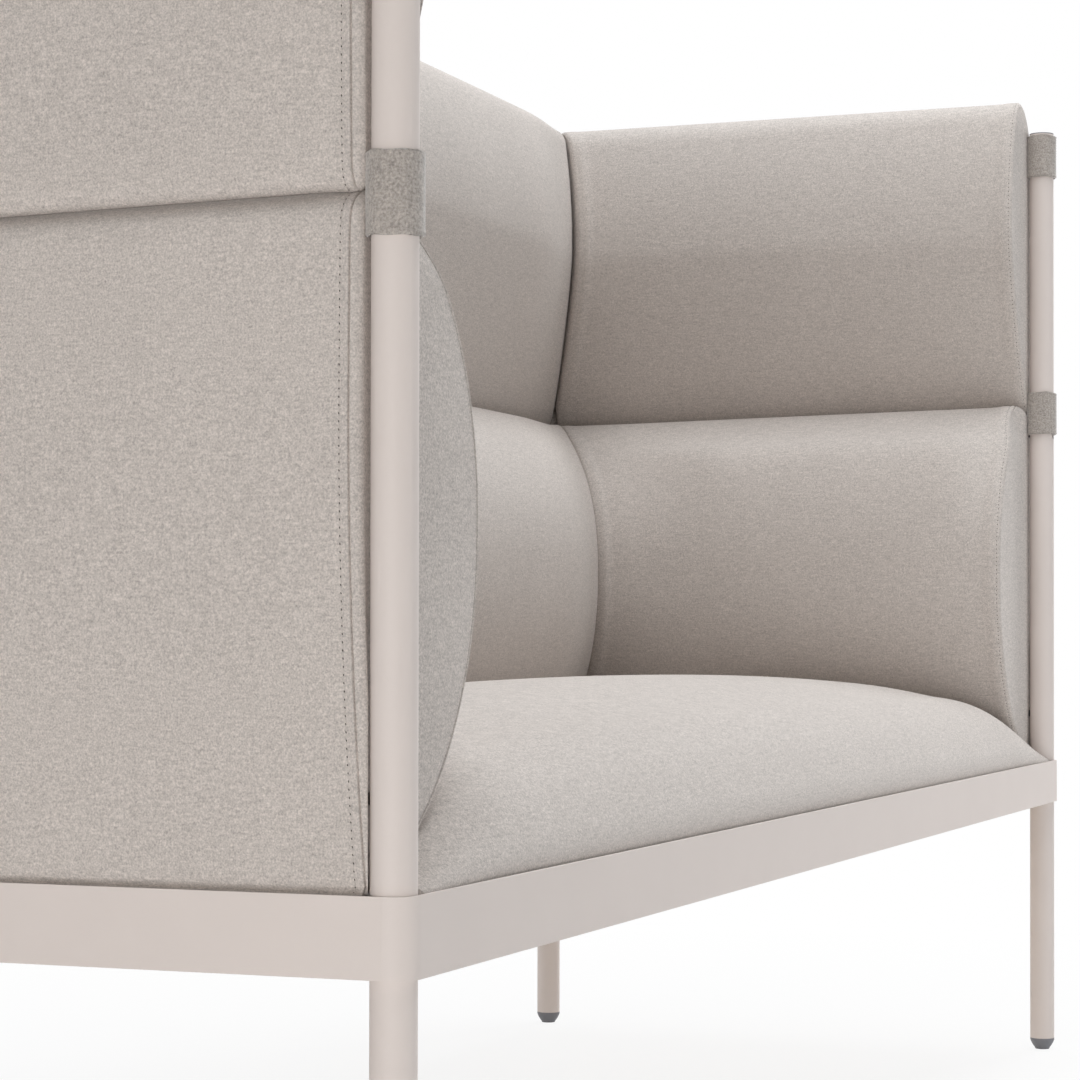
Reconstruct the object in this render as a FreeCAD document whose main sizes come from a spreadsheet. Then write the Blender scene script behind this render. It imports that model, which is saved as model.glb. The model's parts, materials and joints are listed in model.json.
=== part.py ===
import FreeCAD, Part
import math
import os
import re

import Sketcher

# High-back sofa: four tube posts, a flat steel band round the seat, one seat cushion, and two tiers
# of padded panels on the left, right and back, bolted between the posts and trimmed with felt loops.
# Millimetres. +Z is up, the front faces -Y, and the origin is on the floor between the four posts.

SIZES = [
    # Posts, glides and caps
    ("post_diameter", 28, "outside diameter of a post tube"),
    ("post_wall", 2, "wall of a post tube"),
    ("post_span_x", 1880, "left post axis to right post axis"),
    ("post_span_y", 624, "front post axis to back post axis"),
    ("post_top", 1080, "upper end of the tubes, above the floor"),
    ("glide_height", 13, "height of a glide, floor to tube"),
    ("glide_tip_diameter", 18, "flat underside of a glide"),
    ("glide_edge", 2, "height of the bevel at a glide's foot"),
    ("plug_length", 22, "length of the glide and cap stems in the tubes"),
    ("plug_clearance", 0.2, "gap between a stem and its tube, on the radius"),
    ("cap_thickness", 2, "thickness of a post cap's rim"),
    # Steel band and seat frame
    ("band_top", 340, "upper edge of the band, above the floor"),
    ("band_height", 48, "width of the band's flat strip"),
    ("band_thickness", 3, "thickness of the band's strip"),
    ("weld_gap", 0.2, "gap between a post and the band bent round it"),
    ("bearer_drop", 26, "band's upper edge down to the bearers' tops"),
    ("bearer_leg", 25, "level leg of a bearer angle"),
    ("bearer_skirt", 20, "upright leg of a bearer angle"),
    ("bearer_thickness", 3, "thickness of a bearer angle"),
    ("bar_width", 40, "width of a cross bar"),
    ("bar_height", 20, "height of a cross bar"),
    ("bar_wall", 2, "wall of a cross bar"),
    ("post_gap", 2, "gap between a post and the seat pieces beside it"),
    # Seat
    ("seat_board_thickness", 12, "plywood under the seat foam"),
    ("seat_edge_gap", 1.2, "gap between the band and the seat pieces inside it"),
    ("seat_rim_rise", 1, "seat cushion's rim above the band"),
    ("seat_shoulder_rise", 88, "front shoulder of the cushion above its rim"),
    ("seat_crown_rise", 16, "crown of the cushion above its shoulders"),
    ("seat_front_reach", 72, "depth of the rounded front shoulder"),
    ("seat_front_bow", 20, "bow of the front shoulder's arc"),
    ("seat_tuck", 58, "flat rim tucked under the panels at the sides and back"),
    ("seat_tuck_lift", 0.8, "inner edge of the tucked rim above the rim"),
    ("seat_slope_reach", 200, "run of the slope that rises from the tucked rim"),
    ("seat_slope_bow", 16, "bow of the back slope's arc"),
    # Upholstery
    ("cover_thickness", 1.5, "cover cloth with its wadding"),
    ("foam_gap", 0.5, "gap between the foam and its cover"),
    ("panel_swell", 4, "swell of a panel halfway along"),
    ("corner_draw", 46, "panels' inner faces drawn in at the back corners"),
    ("corner_reach", 90, "run over which the faces are drawn in"),
    ("mitre_gap", 0.6, "gap between two panels at a back corner, along the run"),
    ("board_thickness", 15, "plywood core of a panel"),
    ("board_outside", 6.5, "core's outer face, outside the post axes"),
    ("board_gap", 0.3, "gap between a core and its foam or cover"),
    # Lower panels
    ("joint_height", 744, "joint between the two tiers, above the floor"),
    ("joint_gap", 2, "gap between the two tiers"),
    ("lower_bottom", 344, "lower edge of the lower panels"),
    ("lower_end_gap", 3.5, "post to the end of a lower panel"),
    ("lower_depth", 167, "reach of a lower panel inside the post axes"),
    ("lower_belly", 213, "height of the deepest line above the lower edge"),
    ("lower_tip", 12, "lower edge, inside the post axes"),
    ("lower_crest", 40, "top line, inside the post axes"),
    ("lower_crest_rise", 14, "top line above the lower side of the joint"),
    ("lower_crest_bow", 8, "bow of the arc over the outer shoulder"),
    ("lower_under_bow", 44, "bow of the underside's arc"),
    ("lower_shoulder_bow", 37, "bow of the shoulder's arc"),
    ("lower_outside", 14, "outer face at its edges, outside the post axes"),
    ("lower_edge_round", 18, "outer shoulder below the joint"),
    ("lower_foot_round", 9, "height of the rounded lower outer edge"),
    ("lower_board_top", 13, "core's upper edge below the joint"),
    ("lower_board_bottom", 18, "core's lower edge above the panel's"),
    # Upper panels
    ("upper_top", 1113, "upper edge of the upper panels"),
    ("upper_end_gap", 8, "post to the end of an upper panel"),
    ("upper_depth", 102, "reach of an upper panel inside the post axes"),
    ("upper_belly", 200, "height of the deepest line above the joint"),
    ("upper_tip", 2, "lower edge, inside the post axes"),
    ("upper_shoulder_reach", 77, "inner shoulder, inside the post axes"),
    ("upper_shoulder_drop", 26, "inner shoulder below the top"),
    ("upper_crest", 40, "top line, inside the post axes"),
    ("upper_under_bow", 20, "bow of the underside's arc"),
    ("upper_face_bow", 9, "bow of the inner face's arc"),
    ("upper_brow_bow", 6.5, "bow of the inner shoulder's arc"),
    ("upper_crest_bow", 16.5, "bow of the arc over the outer shoulder"),
    ("upper_crest_drop", 61, "outer shoulder below the top"),
    ("upper_outside", 12, "outer face at its edges, outside the post axes"),
    ("upper_edge_round", 15, "height of the rounded lower outer edge"),
    ("upper_board_top", 50, "core's upper edge below the top"),
    ("upper_board_bottom", 14, "core's lower edge above the joint"),
    ("outside_bow", 2, "bow of the panels' outer faces"),
    ("edge_bow", 4, "bow of the panels' rounded outer edges"),
    # Felt loops
    ("loop_height", 54, "height of a loop"),
    ("loop_thickness", 3, "thickness of the felt"),
    ("loop_gap", 0.2, "gap between a loop and its post"),
    ("loop_edge", 0.8, "bevel of a loop's edges"),
    # Fasteners
    ("bolt_diameter", 5, "shank of a panel bolt"),
    ("bolt_head_diameter", 9, "head of a panel bolt"),
    ("bolt_head_height", 3, "height of a panel bolt's head"),
    ("bolt_clearance", 0.3, "hole over shank, on the radius"),
    ("bolt_offset", 20, "bolts above and below the joint between the tiers"),
    ("top_bolt_drop", 27, "upper bolts below the tops of the posts"),
    ("bolt_tail", 2, "insert past the end of its bolt"),
    ("access_diameter", 10, "hole that a bolt's head goes in by"),
    ("washer_diameter", 10, "saddle washer under a bolt's head"),
    ("washer_thickness", 2.4, "saddle washer at its middle"),
    ("insert_diameter", 9, "threaded insert in a core's end"),
    ("insert_length", 18, "length of a threaded insert"),
    ("pin_diameter", 8, "locating pin at a lower panel's foot"),
    ("pin_clearance", 0.15, "hole over pin, on the radius"),
    ("pin_height", 395, "locating pins above the floor"),
    ("screw_diameter", 4, "shank of a seat screw"),
    ("screw_clearance", 0.3, "hole over seat screw, on the radius"),
    ("screw_head_diameter", 8, "head of a seat screw"),
    ("screw_head_height", 2.4, "height of a seat screw's head"),
    ("screw_bite", 9, "seat screw's length in the seat board"),
    ("screw_inset", 14, "seat screws inside the band"),
    ("screw_end_inset", 110, "first seat screw from the end of its bearer"),
]
ALIASES = {alias for alias, number, note in SIZES}
LONG_BEARER_SCREWS = 5
SHORT_BEARER_SCREWS = 2
CROSS_BARS = {"left": -1, "centre": 0, "right": 1}
SLOPE_STEPS = 5
LEAST_SHARE = 0.008
CORNER_STEPS = 2
SHOULDER_TURN = (0.8, 0.6)
CORNERS = {"front_left": (-1, -1, 90), "front_right": (1, -1, 90),
           "back_left": (-1, 1, -90), "back_right": (1, 1, 180)}
SIDES = {"left": (-1, 1, -90), "right": (1, -1, 90), "back": (1, 1, 180)}
Z_AXIS = FreeCAD.Vector(0, 0, 1)

doc = FreeCAD.newDocument("sofa")
sheet = doc.addObject("Spreadsheet::Sheet", "Sizes")
for row, (alias, number, note) in enumerate(SIZES, 1):
    sheet.set(f"A{row}", note)
    sheet.set(f"B{row}", str(number))
    sheet.setAlias(f"B{row}", alias)
doc.recompute()
pieces = []


# Values and bindings

def cells(text):
    """An expression in size names, written with the sheet's name before each of them."""
    return re.sub(r"[a-z_]+", lambda word: f"Sizes.{word[0]}" if word[0] in ALIASES else word[0], str(text))


def value(text):
    """The number that an expression in size names gives now."""
    return float(sheet.evalExpression(cells(text)))


def bind(thing, **expressions):
    """Tie properties to expressions; Base_x stands for Placement.Base.x."""
    for name, text in expressions.items():
        path = name.replace("Base_", "Placement.Base.")
        thing.setExpression(path, cells(text))


def piece(thing, label):
    """Name a finished sub-part, which is then written to a file of that name."""
    thing.Label = label
    pieces.append(thing)
    return thing


def turned(thing, degrees, x="0", y="0", z="0"):
    """Turn a sub-part about the vertical and tie its place to expressions."""
    thing.Placement = FreeCAD.Placement(FreeCAD.Vector(), FreeCAD.Rotation(Z_AXIS, degrees))
    bind(thing, Base_x=x, Base_y=y, Base_z=z)


def corner_place(name):
    """The expressions of a post axis and the turn that points +X along the panel beside it."""
    across, along, degrees = CORNERS[name]
    return f"{across} * post_span_x / 2", f"{along} * post_span_y / 2", degrees


# Sketches and features

def new_body(name):
    return doc.addObject("PartDesign::Body", name)


def new_sketch(body, plane, offset="0"):
    """A sketch on one of the body's own planes, moved along that plane's normal."""
    sketch = body.newObject("Sketcher::SketchObject", "Sketch")
    plane = next(item for item in body.Origin.OriginFeatures if item.Role == plane)
    sketch.AttachmentSupport = [(plane, "")]
    sketch.MapMode = "FlatFace"
    sketch.setExpression("AttachmentOffset.Base.z", cells(offset))
    return sketch


def pin_value(sketch, text, *parts):
    """Add a constraint whose value is tied to an expression."""
    index = sketch.addConstraint(Sketcher.Constraint(*parts, value(text)))
    sketch.setExpression(f"Constraints[{index}]", cells(text))


def bowed_arc(start, end, bow):
    """The arc from start to end, anticlockwise, that stands out from its chord by bow."""
    chord = end - start
    outward = FreeCAD.Vector(chord.y, -chord.x, 0) / chord.Length
    radius = (chord.Length ** 2 / 4 + bow ** 2) / (2 * bow)
    centre = (start + end) / 2 - outward * (radius - bow)
    first = math.atan2(start.y - centre.y, start.x - centre.x)
    last = math.atan2(end.y - centre.y, end.x - centre.x)
    return Part.ArcOfCircle(Part.Circle(centre, Z_AXIS, radius), first, last)


def dome_bow(radius, height):
    """The bow of an arc that starts level on the axis and falls by height over radius."""
    square = f"(({radius})^2 + ({height})^2)"
    ball = f"({square} / (2 * ({height})))"
    return f"({ball} - sqrt({ball}^2 - {square} / 4))"


def draw_loop(sketch, corners, bows=None):
    """A closed anticlockwise loop through corners; bows gives the bow of each edge that is an arc."""
    bows = bows or {}
    points = [FreeCAD.Vector(value(x), value(y), 0) for x, y in corners]
    first = sketch.GeometryCount
    count = len(corners)
    for edge in range(count):
        start = points[edge]
        end = points[(edge + 1) % count]
        if edge in bows:
            sketch.addGeometry(bowed_arc(start, end, value(bows[edge])))
        else:
            sketch.addGeometry(Part.LineSegment(start, end))
    for edge, (x, y) in enumerate(corners):
        following = (edge + 1) % count
        sketch.addConstraint(Sketcher.Constraint("Coincident", first + edge, 2, first + following, 1))
        pin_value(sketch, x, "DistanceX", -1, 1, first + edge, 1)
        pin_value(sketch, y, "DistanceY", -1, 1, first + edge, 1)
        if edge in bows:
            next_x, next_y = corners[following]
            square = f"((({next_x}) - ({x}))^2 + (({next_y}) - ({y}))^2)"
            bow = f"({bows[edge]})"
            pin_value(sketch, f"({square} / 4 + {bow}^2) / (2 * {bow})", "Radius", first + edge)


def draw_circle(sketch, x, y, diameter):
    """A circle about a tied centre."""
    centre = FreeCAD.Vector(value(x), value(y), 0)
    index = sketch.addGeometry(Part.Circle(centre, Z_AXIS, value(diameter) / 2))
    pin_value(sketch, x, "DistanceX", -1, 1, index, 3)
    pin_value(sketch, y, "DistanceY", -1, 1, index, 3)
    pin_value(sketch, diameter, "Diameter", index)


def rectangle(x_low, y_low, x_high, y_high):
    return [(x_low, y_low), (x_high, y_low), (x_high, y_high), (x_low, y_high)]


def pad(body, sketch, length):
    feature = body.newObject("PartDesign::Pad", "Pad")
    feature.Profile = sketch
    bind(feature, Length=length)
    return feature


def pocket(body, sketch, length, reverse):
    """Cut a sketch into the body, and stop if nothing is cut away."""
    doc.recompute()
    before = body.Shape.Volume
    feature = body.newObject("PartDesign::Pocket", "Pocket")
    feature.Profile = sketch
    feature.Reversed = reverse
    bind(feature, Length=length)
    doc.recompute()
    if body.Shape.Volume >= before:
        raise ValueError(f"{body.Name}: a pocket cuts nothing")
    return feature


def loft(body, sketches, ruled):
    feature = body.newObject("PartDesign::AdditiveLoft", "Loft")
    feature.Profile = sketches[0]
    feature.Sections = sketches[1:]
    feature.Ruled = ruled
    return feature


def revolve(body, corners, bows=None):
    """Turn a loop, drawn as radius and height, about the vertical."""
    sketch = new_sketch(body, "XZ_Plane")
    draw_loop(sketch, corners, bows)
    feature = body.newObject("PartDesign::Revolution", "Revolution")
    feature.Profile = sketch
    feature.ReferenceAxis = (sketch, ["V_Axis"])
    feature.Angle = 360
    return feature


def cut(name, base, tool):
    feature = doc.addObject("Part::Cut", name)
    feature.Base = base
    feature.Tool = tool
    return feature


def group(label, body, placements):
    """Copies of one small piece, kept together as separate solids."""
    doc.recompute()
    feature = doc.addObject("Part::Feature", label)
    feature.Shape = Part.makeCompound([body.Shape.copy().transformed(at.toMatrix()) for at in placements])
    return piece(feature, label)


# Posts, glides, caps and loops

BOLT_HEIGHTS = {"lower": ["joint_height - bolt_offset"],
                "upper": ["joint_height + bolt_offset", "post_top - top_bolt_drop"]}
ALL_BOLTS = BOLT_HEIGHTS["lower"] + BOLT_HEIGHTS["upper"]
INNER_RADIUS = "(post_diameter / 2 - post_wall)"


def drill(body, plane, across, holes, reverse):
    """Cut round holes from the post axis out through one wall; holes are heights and diameters."""
    sketch = new_sketch(body, plane)
    for height, diameter in holes:
        draw_circle(sketch, across, height, diameter)
    pocket(body, sketch, "post_diameter", reverse)


def panel_directions(corner):
    """The planes through a post that a panel's bolts cross: one at the front, two at the back."""
    return ["YZ_Plane", "XZ_Plane"] if corner.startswith("back") else ["YZ_Plane"]


def make_post(corner):
    """A tube with bolt and pin holes towards its panels and access holes on the far wall."""
    body = new_body("Post")
    sketch = new_sketch(body, "XY_Plane", "glide_height")
    draw_circle(sketch, "0", "0", "post_diameter")
    draw_circle(sketch, "0", "0", "post_diameter - 2 * post_wall")
    pad(body, sketch, "post_top - glide_height")
    inward = [(height, "bolt_diameter + 2 * bolt_clearance") for height in ALL_BOLTS]
    inward.append(("pin_height", "pin_diameter + 2 * pin_clearance"))
    outward = [(height, "access_diameter") for height in ALL_BOLTS]
    for plane in panel_directions(corner):
        drill(body, plane, "0", inward, plane == "YZ_Plane")
        drill(body, plane, "0", outward, plane == "XZ_Plane")
    x, y, degrees = corner_place(corner)
    turned(body, degrees, x, y)
    piece(body, f"post_{corner}")


def make_glide(corner):
    """A moulded foot: a stem up the tube, a rim under its end, and a taper to a flat tip."""
    body = new_body("Glide")
    stem = f"{INNER_RADIUS} - plug_clearance"
    revolve(body, [("0", "0"),
                   ("glide_tip_diameter / 2 - glide_edge / 2", "0"),
                   ("glide_tip_diameter / 2", "glide_edge"),
                   ("post_diameter / 2", "glide_height - glide_edge"),
                   ("post_diameter / 2", "glide_height"),
                   (stem, "glide_height"),
                   (stem, "glide_height + plug_length"),
                   ("0", "glide_height + plug_length")], {2: "glide_edge / 4"})
    x, y, degrees = corner_place(corner)
    turned(body, degrees, x, y)
    piece(body, f"foot_glide_{corner}")


def make_cap(corner):
    """A plug that closes the top of a post, with a low domed rim."""
    body = new_body("Cap")
    stem = f"{INNER_RADIUS} - plug_clearance"
    revolve(body, [("0", "-plug_length"),
                   (stem, "-plug_length"),
                   (stem, "0"),
                   ("post_diameter / 2", "0"),
                   ("post_diameter / 2", "cap_thickness / 2"),
                   ("0", "cap_thickness")], {4: dome_bow("post_diameter / 2", "cap_thickness / 2")})
    x, y, degrees = corner_place(corner)
    turned(body, degrees, x, y, "post_top")
    piece(body, f"post_cap_{corner}")


def make_loop(corner, level, height, bolts):
    """A felt sleeve round a post, with a hole for each bolt that passes through to a panel."""
    body = new_body("Loop")
    sketch = new_sketch(body, "XY_Plane", f"{height} - loop_height / 2")
    bore = "post_diameter + 2 * loop_gap"
    draw_circle(sketch, "0", "0", f"{bore} + 2 * loop_thickness")
    draw_circle(sketch, "0", "0", bore)
    sleeve = pad(body, sketch, "loop_height")
    doc.recompute()
    bevel = body.newObject("PartDesign::Chamfer", "Chamfer")
    rims = [f"Edge{number}" for number, edge in enumerate(sleeve.Shape.Edges, 1)
            if isinstance(edge.Curve, Part.Circle)]
    bevel.Base = (sleeve, rims)
    bind(bevel, Size="min(loop_edge; loop_thickness / 3)")
    for plane in panel_directions(corner):
        holes = [(bolt, "bolt_diameter + 2 * bolt_clearance") for bolt in bolts]
        drill(body, plane, "0", holes, plane == "YZ_Plane")
    x, y, degrees = corner_place(corner)
    turned(body, degrees, x, y)
    piece(body, f"loop_{corner}_{level}")


# Steel band and seat frame

BAND_INSIDE = "(post_diameter / 2 + weld_gap)"
BEARER_TOP = "(band_top - bearer_drop)"
CROSS_BAR_SPACING = "post_span_x / 4"


def rounded_loop(sketch, half_x, half_y, radius):
    """A rectangle with round corners, drawn as eight edges."""
    bow = f"({radius}) * {1 - math.sqrt(0.5)}"
    corners = [(f"{half_x} - {radius}", f"-({half_y})"), (half_x, f"-({half_y}) + {radius}"),
               (half_x, f"{half_y} - {radius}"), (f"{half_x} - {radius}", half_y),
               (f"-({half_x}) + {radius}", half_y), (f"-({half_x})", f"{half_y} - {radius}"),
               (f"-({half_x})", f"-({half_y}) + {radius}"), (f"-({half_x}) + {radius}", f"-({half_y})")]
    draw_loop(sketch, corners, {0: bow, 2: bow, 4: bow, 6: bow})


def make_band():
    """Flat strip bent once round the four posts, its corners concentric with them."""
    body = new_body("Band")
    sketch = new_sketch(body, "XY_Plane", "band_top - band_height")
    outside = f"({BAND_INSIDE} + band_thickness)"
    rounded_loop(sketch, f"post_span_x / 2 + {outside}", f"post_span_y / 2 + {outside}", outside)
    rounded_loop(sketch, f"post_span_x / 2 + {BAND_INSIDE}", f"post_span_y / 2 + {BAND_INSIDE}", BAND_INSIDE)
    pad(body, sketch, "band_height")
    piece(body, "base_band")


def screw_spacing(length, count):
    return f"(({length}) - 2 * screw_end_inset) / {count - 1}"


def bearer_length(span):
    return f"({span} - post_diameter - 2 * post_gap)"


def make_bearer(side, span, across, degrees, screws):
    """An angle welded inside the band, with a row of screw holes in its level leg."""
    body = new_body("Bearer")
    length = bearer_length(span)
    sketch = new_sketch(body, "YZ_Plane", f"-{length} / 2")
    draw_loop(sketch, [("0", "-bearer_skirt"), ("bearer_thickness", "-bearer_skirt"),
                       ("bearer_thickness", "-bearer_thickness"), ("bearer_leg", "-bearer_thickness"),
                       ("bearer_leg", "0"), ("0", "0")])
    pad(body, sketch, length)
    hole = new_sketch(body, "XY_Plane")
    spacing = screw_spacing(length, screws)
    for number in range(screws):
        draw_circle(hole, f"-{length} / 2 + screw_end_inset + {number} * {spacing}", "screw_inset",
                    "screw_diameter + 2 * screw_clearance")
    pocket(body, hole, "bearer_thickness", False)
    angle = math.radians(degrees)
    offset = f"({across} / 2 + {BAND_INSIDE})"
    turned(body, degrees, f"{round(math.sin(angle))} * {offset}", f"{-round(math.cos(angle))} * {offset}", BEARER_TOP)
    piece(body, f"seat_bearer_{side}")


def make_cross_bar(name, place):
    """A rectangular tube from the front bearer to the back one, level with their tops."""
    body = new_body("Bar")
    length = f"(post_span_y + 2 * {BAND_INSIDE} - 2 * bearer_leg)"
    sketch = new_sketch(body, "XZ_Plane", f"-{length} / 2")
    draw_loop(sketch, rectangle("-bar_width / 2", "-bar_height", "bar_width / 2", "0"))
    draw_loop(sketch, rectangle("-bar_width / 2 + bar_wall", "-bar_height + bar_wall",
                                "bar_width / 2 - bar_wall", "-bar_wall"))
    pad(body, sketch, length)
    turned(body, 0, f"{place} * {CROSS_BAR_SPACING}", "0", BEARER_TOP)
    piece(body, f"seat_cross_bar_{name}")


def seat_screw_places():
    """Screw axes at the bearers' undersides, row by row."""
    places = []
    for span, across, degrees, screws in BEARERS.values():
        length = value(bearer_length(span))
        step = value(screw_spacing(bearer_length(span), screws))
        turn = FreeCAD.Rotation(Z_AXIS, degrees)
        depth = value(f"screw_inset - {across} / 2 - {BAND_INSIDE}")
        for number in range(screws):
            along = -length / 2 + value("screw_end_inset") + number * step
            point = turn.multVec(FreeCAD.Vector(along, depth, value(f"{BEARER_TOP} - bearer_thickness")))
            places.append(FreeCAD.Placement(point, FreeCAD.Rotation()))
    return places


BEARERS = {"front": ("post_span_x", "post_span_y", 0, LONG_BEARER_SCREWS),
           "right": ("post_span_y", "post_span_x", 90, SHORT_BEARER_SCREWS),
           "back": ("post_span_x", "post_span_y", 180, LONG_BEARER_SCREWS),
           "left": ("post_span_y", "post_span_x", -90, SHORT_BEARER_SCREWS)}


def make_seat_screws():
    """Pan-head screws up through the bearers into the seat board."""
    body = new_body("Screw")
    top = "bearer_thickness + screw_bite"
    revolve(body, [("0", "-screw_head_height"), ("screw_head_diameter / 2", "-screw_head_height"),
                   ("screw_head_diameter / 2", "0"), ("screw_diameter / 2", "0"),
                   ("screw_diameter / 2", top), ("0", f"{top} + screw_diameter / 4")])
    group("seat_screws", body, seat_screw_places())


# Seat board, foam and cover

SEAT_HALF_X = f"(post_span_x / 2 + {BAND_INSIDE} - seat_edge_gap)"
SEAT_HALF_Y = f"(post_span_y / 2 + {BAND_INSIDE} - seat_edge_gap)"
SEAT_FLOOR = f"({BEARER_TOP} + seat_board_thickness)"


def notch_corners(body, inset, height):
    """Cut a square out of each corner, where the posts stand."""
    sketch = new_sketch(body, "XY_Plane", "band_top - band_height")
    reach = f"post_diameter / 2 + post_gap + {inset}"
    low_x = f"(post_span_x / 2 - ({reach}))"
    low_y = f"(post_span_y / 2 - ({reach}))"
    high_x = "(post_span_x / 2 + post_diameter)"
    high_y = "(post_span_y / 2 + post_diameter)"
    for x_low, x_high in ((low_x, high_x), (f"-{high_x}", f"-{low_x}")):
        for y_low, y_high in ((low_y, high_y), (f"-{high_y}", f"-{low_y}")):
            draw_loop(sketch, rectangle(x_low, y_low, x_high, y_high))
    pocket(body, sketch, height, True)


def make_seat_board():
    """Plywood inside the band, notched round the posts, with a hole for each seat screw."""
    body = new_body("SeatBoard")
    sketch = new_sketch(body, "XY_Plane", BEARER_TOP)
    draw_loop(sketch, rectangle(f"-{SEAT_HALF_X}", f"-{SEAT_HALF_Y}", SEAT_HALF_X, SEAT_HALF_Y))
    pad(body, sketch, "seat_board_thickness")
    notch_corners(body, "0", "band_height")
    holes = new_sketch(body, "XY_Plane", BEARER_TOP)
    for span, across, degrees, screws in BEARERS.values():
        spacing = screw_spacing(bearer_length(span), screws)
        sine = round(math.sin(math.radians(degrees)))
        cosine = round(math.cos(math.radians(degrees)))
        depth = f"({across} / 2 + {BAND_INSIDE} - screw_inset)"
        for number in range(screws):
            along = f"(-{bearer_length(span)} / 2 + screw_end_inset + {number} * {spacing})"
            draw_circle(holes, f"{cosine} * {along} + {sine} * {depth}",
                        f"{sine} * {along} - {cosine} * {depth}", "screw_diameter + 2 * screw_clearance")
    pocket(body, holes, "screw_bite + screw_diameter / 4 + screw_clearance", True)
    piece(body, "seat_board")


def seat_sections():
    """Places across the seat, each with its share of the cushion's full height."""
    half = []
    for step in range(SLOPE_STEPS + 1):
        share = max(math.sin(math.pi / 2 * step / SLOPE_STEPS), LEAST_SHARE)
        half.append((f"({SEAT_HALF_X} - seat_tuck - seat_slope_reach * {step / SLOPE_STEPS})", share))
    half.insert(0, (SEAT_HALF_X, LEAST_SHARE))
    return half


def seat_solid(inset, floor):
    """The cushion as a loft across the seat: flat tucked rims, a round front and a low crown."""
    body = new_body("SeatSolid")
    half = seat_sections()
    stations = [(f"-({x})", share) for x, share in half] + [(x, share) for x, share in reversed(half)]
    ends = (0, len(stations) - 1)
    sketches = []
    for number, (x, share) in enumerate(stations):
        nudge = 0 if number not in ends else 1 if number == 0 else -1
        sketch = new_sketch(body, "YZ_Plane", f"{x} + {nudge} * ({inset})")
        rim = f"(band_top + seat_rim_rise - ({inset}))"
        shoulder = f"({rim} + seat_shoulder_rise * {share})"
        front = f"-({SEAT_HALF_Y} - ({inset}))"
        back = f"({SEAT_HALF_Y} - ({inset}))"
        tucked = f"({SEAT_HALF_Y} - seat_tuck)"
        corners = [(front, floor), (back, floor), (back, rim), (tucked, f"{rim} + seat_tuck_lift"),
                   (f"{tucked} - seat_slope_reach", shoulder), (f"-({SEAT_HALF_Y} - seat_front_reach)", shoulder),
                   (front, rim)]
        draw_loop(sketch, corners, {3: f"seat_slope_bow * {share}", 4: f"seat_crown_rise * {share}",
                                    5: f"seat_front_bow * {share}"})
        sketches.append(sketch)
    loft(body, sketches, True)
    notch_corners(body, inset, "band_height + seat_shoulder_rise")
    return body


def make_seat():
    """The seat cover, a bag open underneath, and the foam block in it, both on the board."""
    outer = seat_solid("0", SEAT_FLOOR)
    hollow = seat_solid("cover_thickness", f"({SEAT_FLOOR} - cover_thickness)")
    piece(cut("SeatCover", outer, hollow), "seat_cover")
    piece(seat_solid("cover_thickness + foam_gap", SEAT_FLOOR), "seat_foam")


# Panels

TIER_END = {"lower": "(post_diameter / 2 + lower_end_gap)", "upper": "(post_diameter / 2 + upper_end_gap)"}
LOWER_TOP = "(joint_height - joint_gap / 2)"
UPPER_BOTTOM = "(joint_height + joint_gap / 2)"
PANEL_RUNS = {"left": "post_span_y", "right": "post_span_y", "back": "post_span_x"}
MITRED = {"left": ("start",), "right": ("end",), "back": ("start", "end")}


def lower_profile(inset, swell, draw):
    """The lower panels' section: a broad round shoulder over an underside that tapers to the seat."""
    deep = f"(lower_depth + {swell} * panel_swell - {draw} * corner_draw)"
    slim = f"({deep} / lower_depth)"
    corners = [(f"lower_tip * {slim}", f"lower_bottom + {inset}"),
               (f"{deep} - ({inset})", "lower_bottom + lower_belly"),
               (f"lower_crest * {slim}", f"{LOWER_TOP} + lower_crest_rise * {slim} - ({inset})"),
               (f"-lower_outside + {inset}", f"{LOWER_TOP} - lower_edge_round"),
               (f"-lower_outside + {inset}", "lower_bottom + lower_foot_round")]
    return corners, {0: f"lower_under_bow * {slim}", 1: f"lower_shoulder_bow * {slim}", 2: "lower_crest_bow",
                     3: "outside_bow", 4: "edge_bow"}


def upper_profile(inset, swell, draw):
    """The upper panels' section: slimmer, from a narrow foot to a round top behind the crest."""
    deep = f"(upper_depth + {swell} * panel_swell - {draw} * corner_draw)"
    slim = f"({deep} / upper_depth)"
    inward, down = SHOULDER_TURN
    corners = [("upper_tip", f"{UPPER_BOTTOM} + {inset}"),
               (f"{deep} - ({inset})", "joint_height + upper_belly"),
               (f"upper_shoulder_reach * {slim} - {inward} * ({inset})",
                f"upper_top - upper_shoulder_drop - {down} * ({inset})"),
               (f"upper_crest * {slim}", f"upper_top - ({inset})"),
               (f"-upper_outside + {inset}", "upper_top - upper_crest_drop"),
               (f"-upper_outside + {inset}", f"{UPPER_BOTTOM} + upper_edge_round")]
    return corners, {0: "upper_under_bow", 1: f"upper_face_bow * {slim}", 2: "upper_brow_bow",
                     3: "upper_crest_bow", 4: "outside_bow", 5: "edge_bow"}


PROFILES = {"lower": lower_profile, "upper": upper_profile}


def corner_stations(tier, end):
    """Places along the run from a mitred end, each with its share of the drawing in."""
    base = f"({tier}_depth - corner_draw)"
    stations = [(end, 1)]
    for step in range(CORNER_STEPS + 1):
        angle = math.pi / 2 * step / CORNER_STEPS
        stations.append((f"({base} + corner_reach * {1 - math.cos(angle)})", 1 - math.sin(angle)))
    return stations


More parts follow.
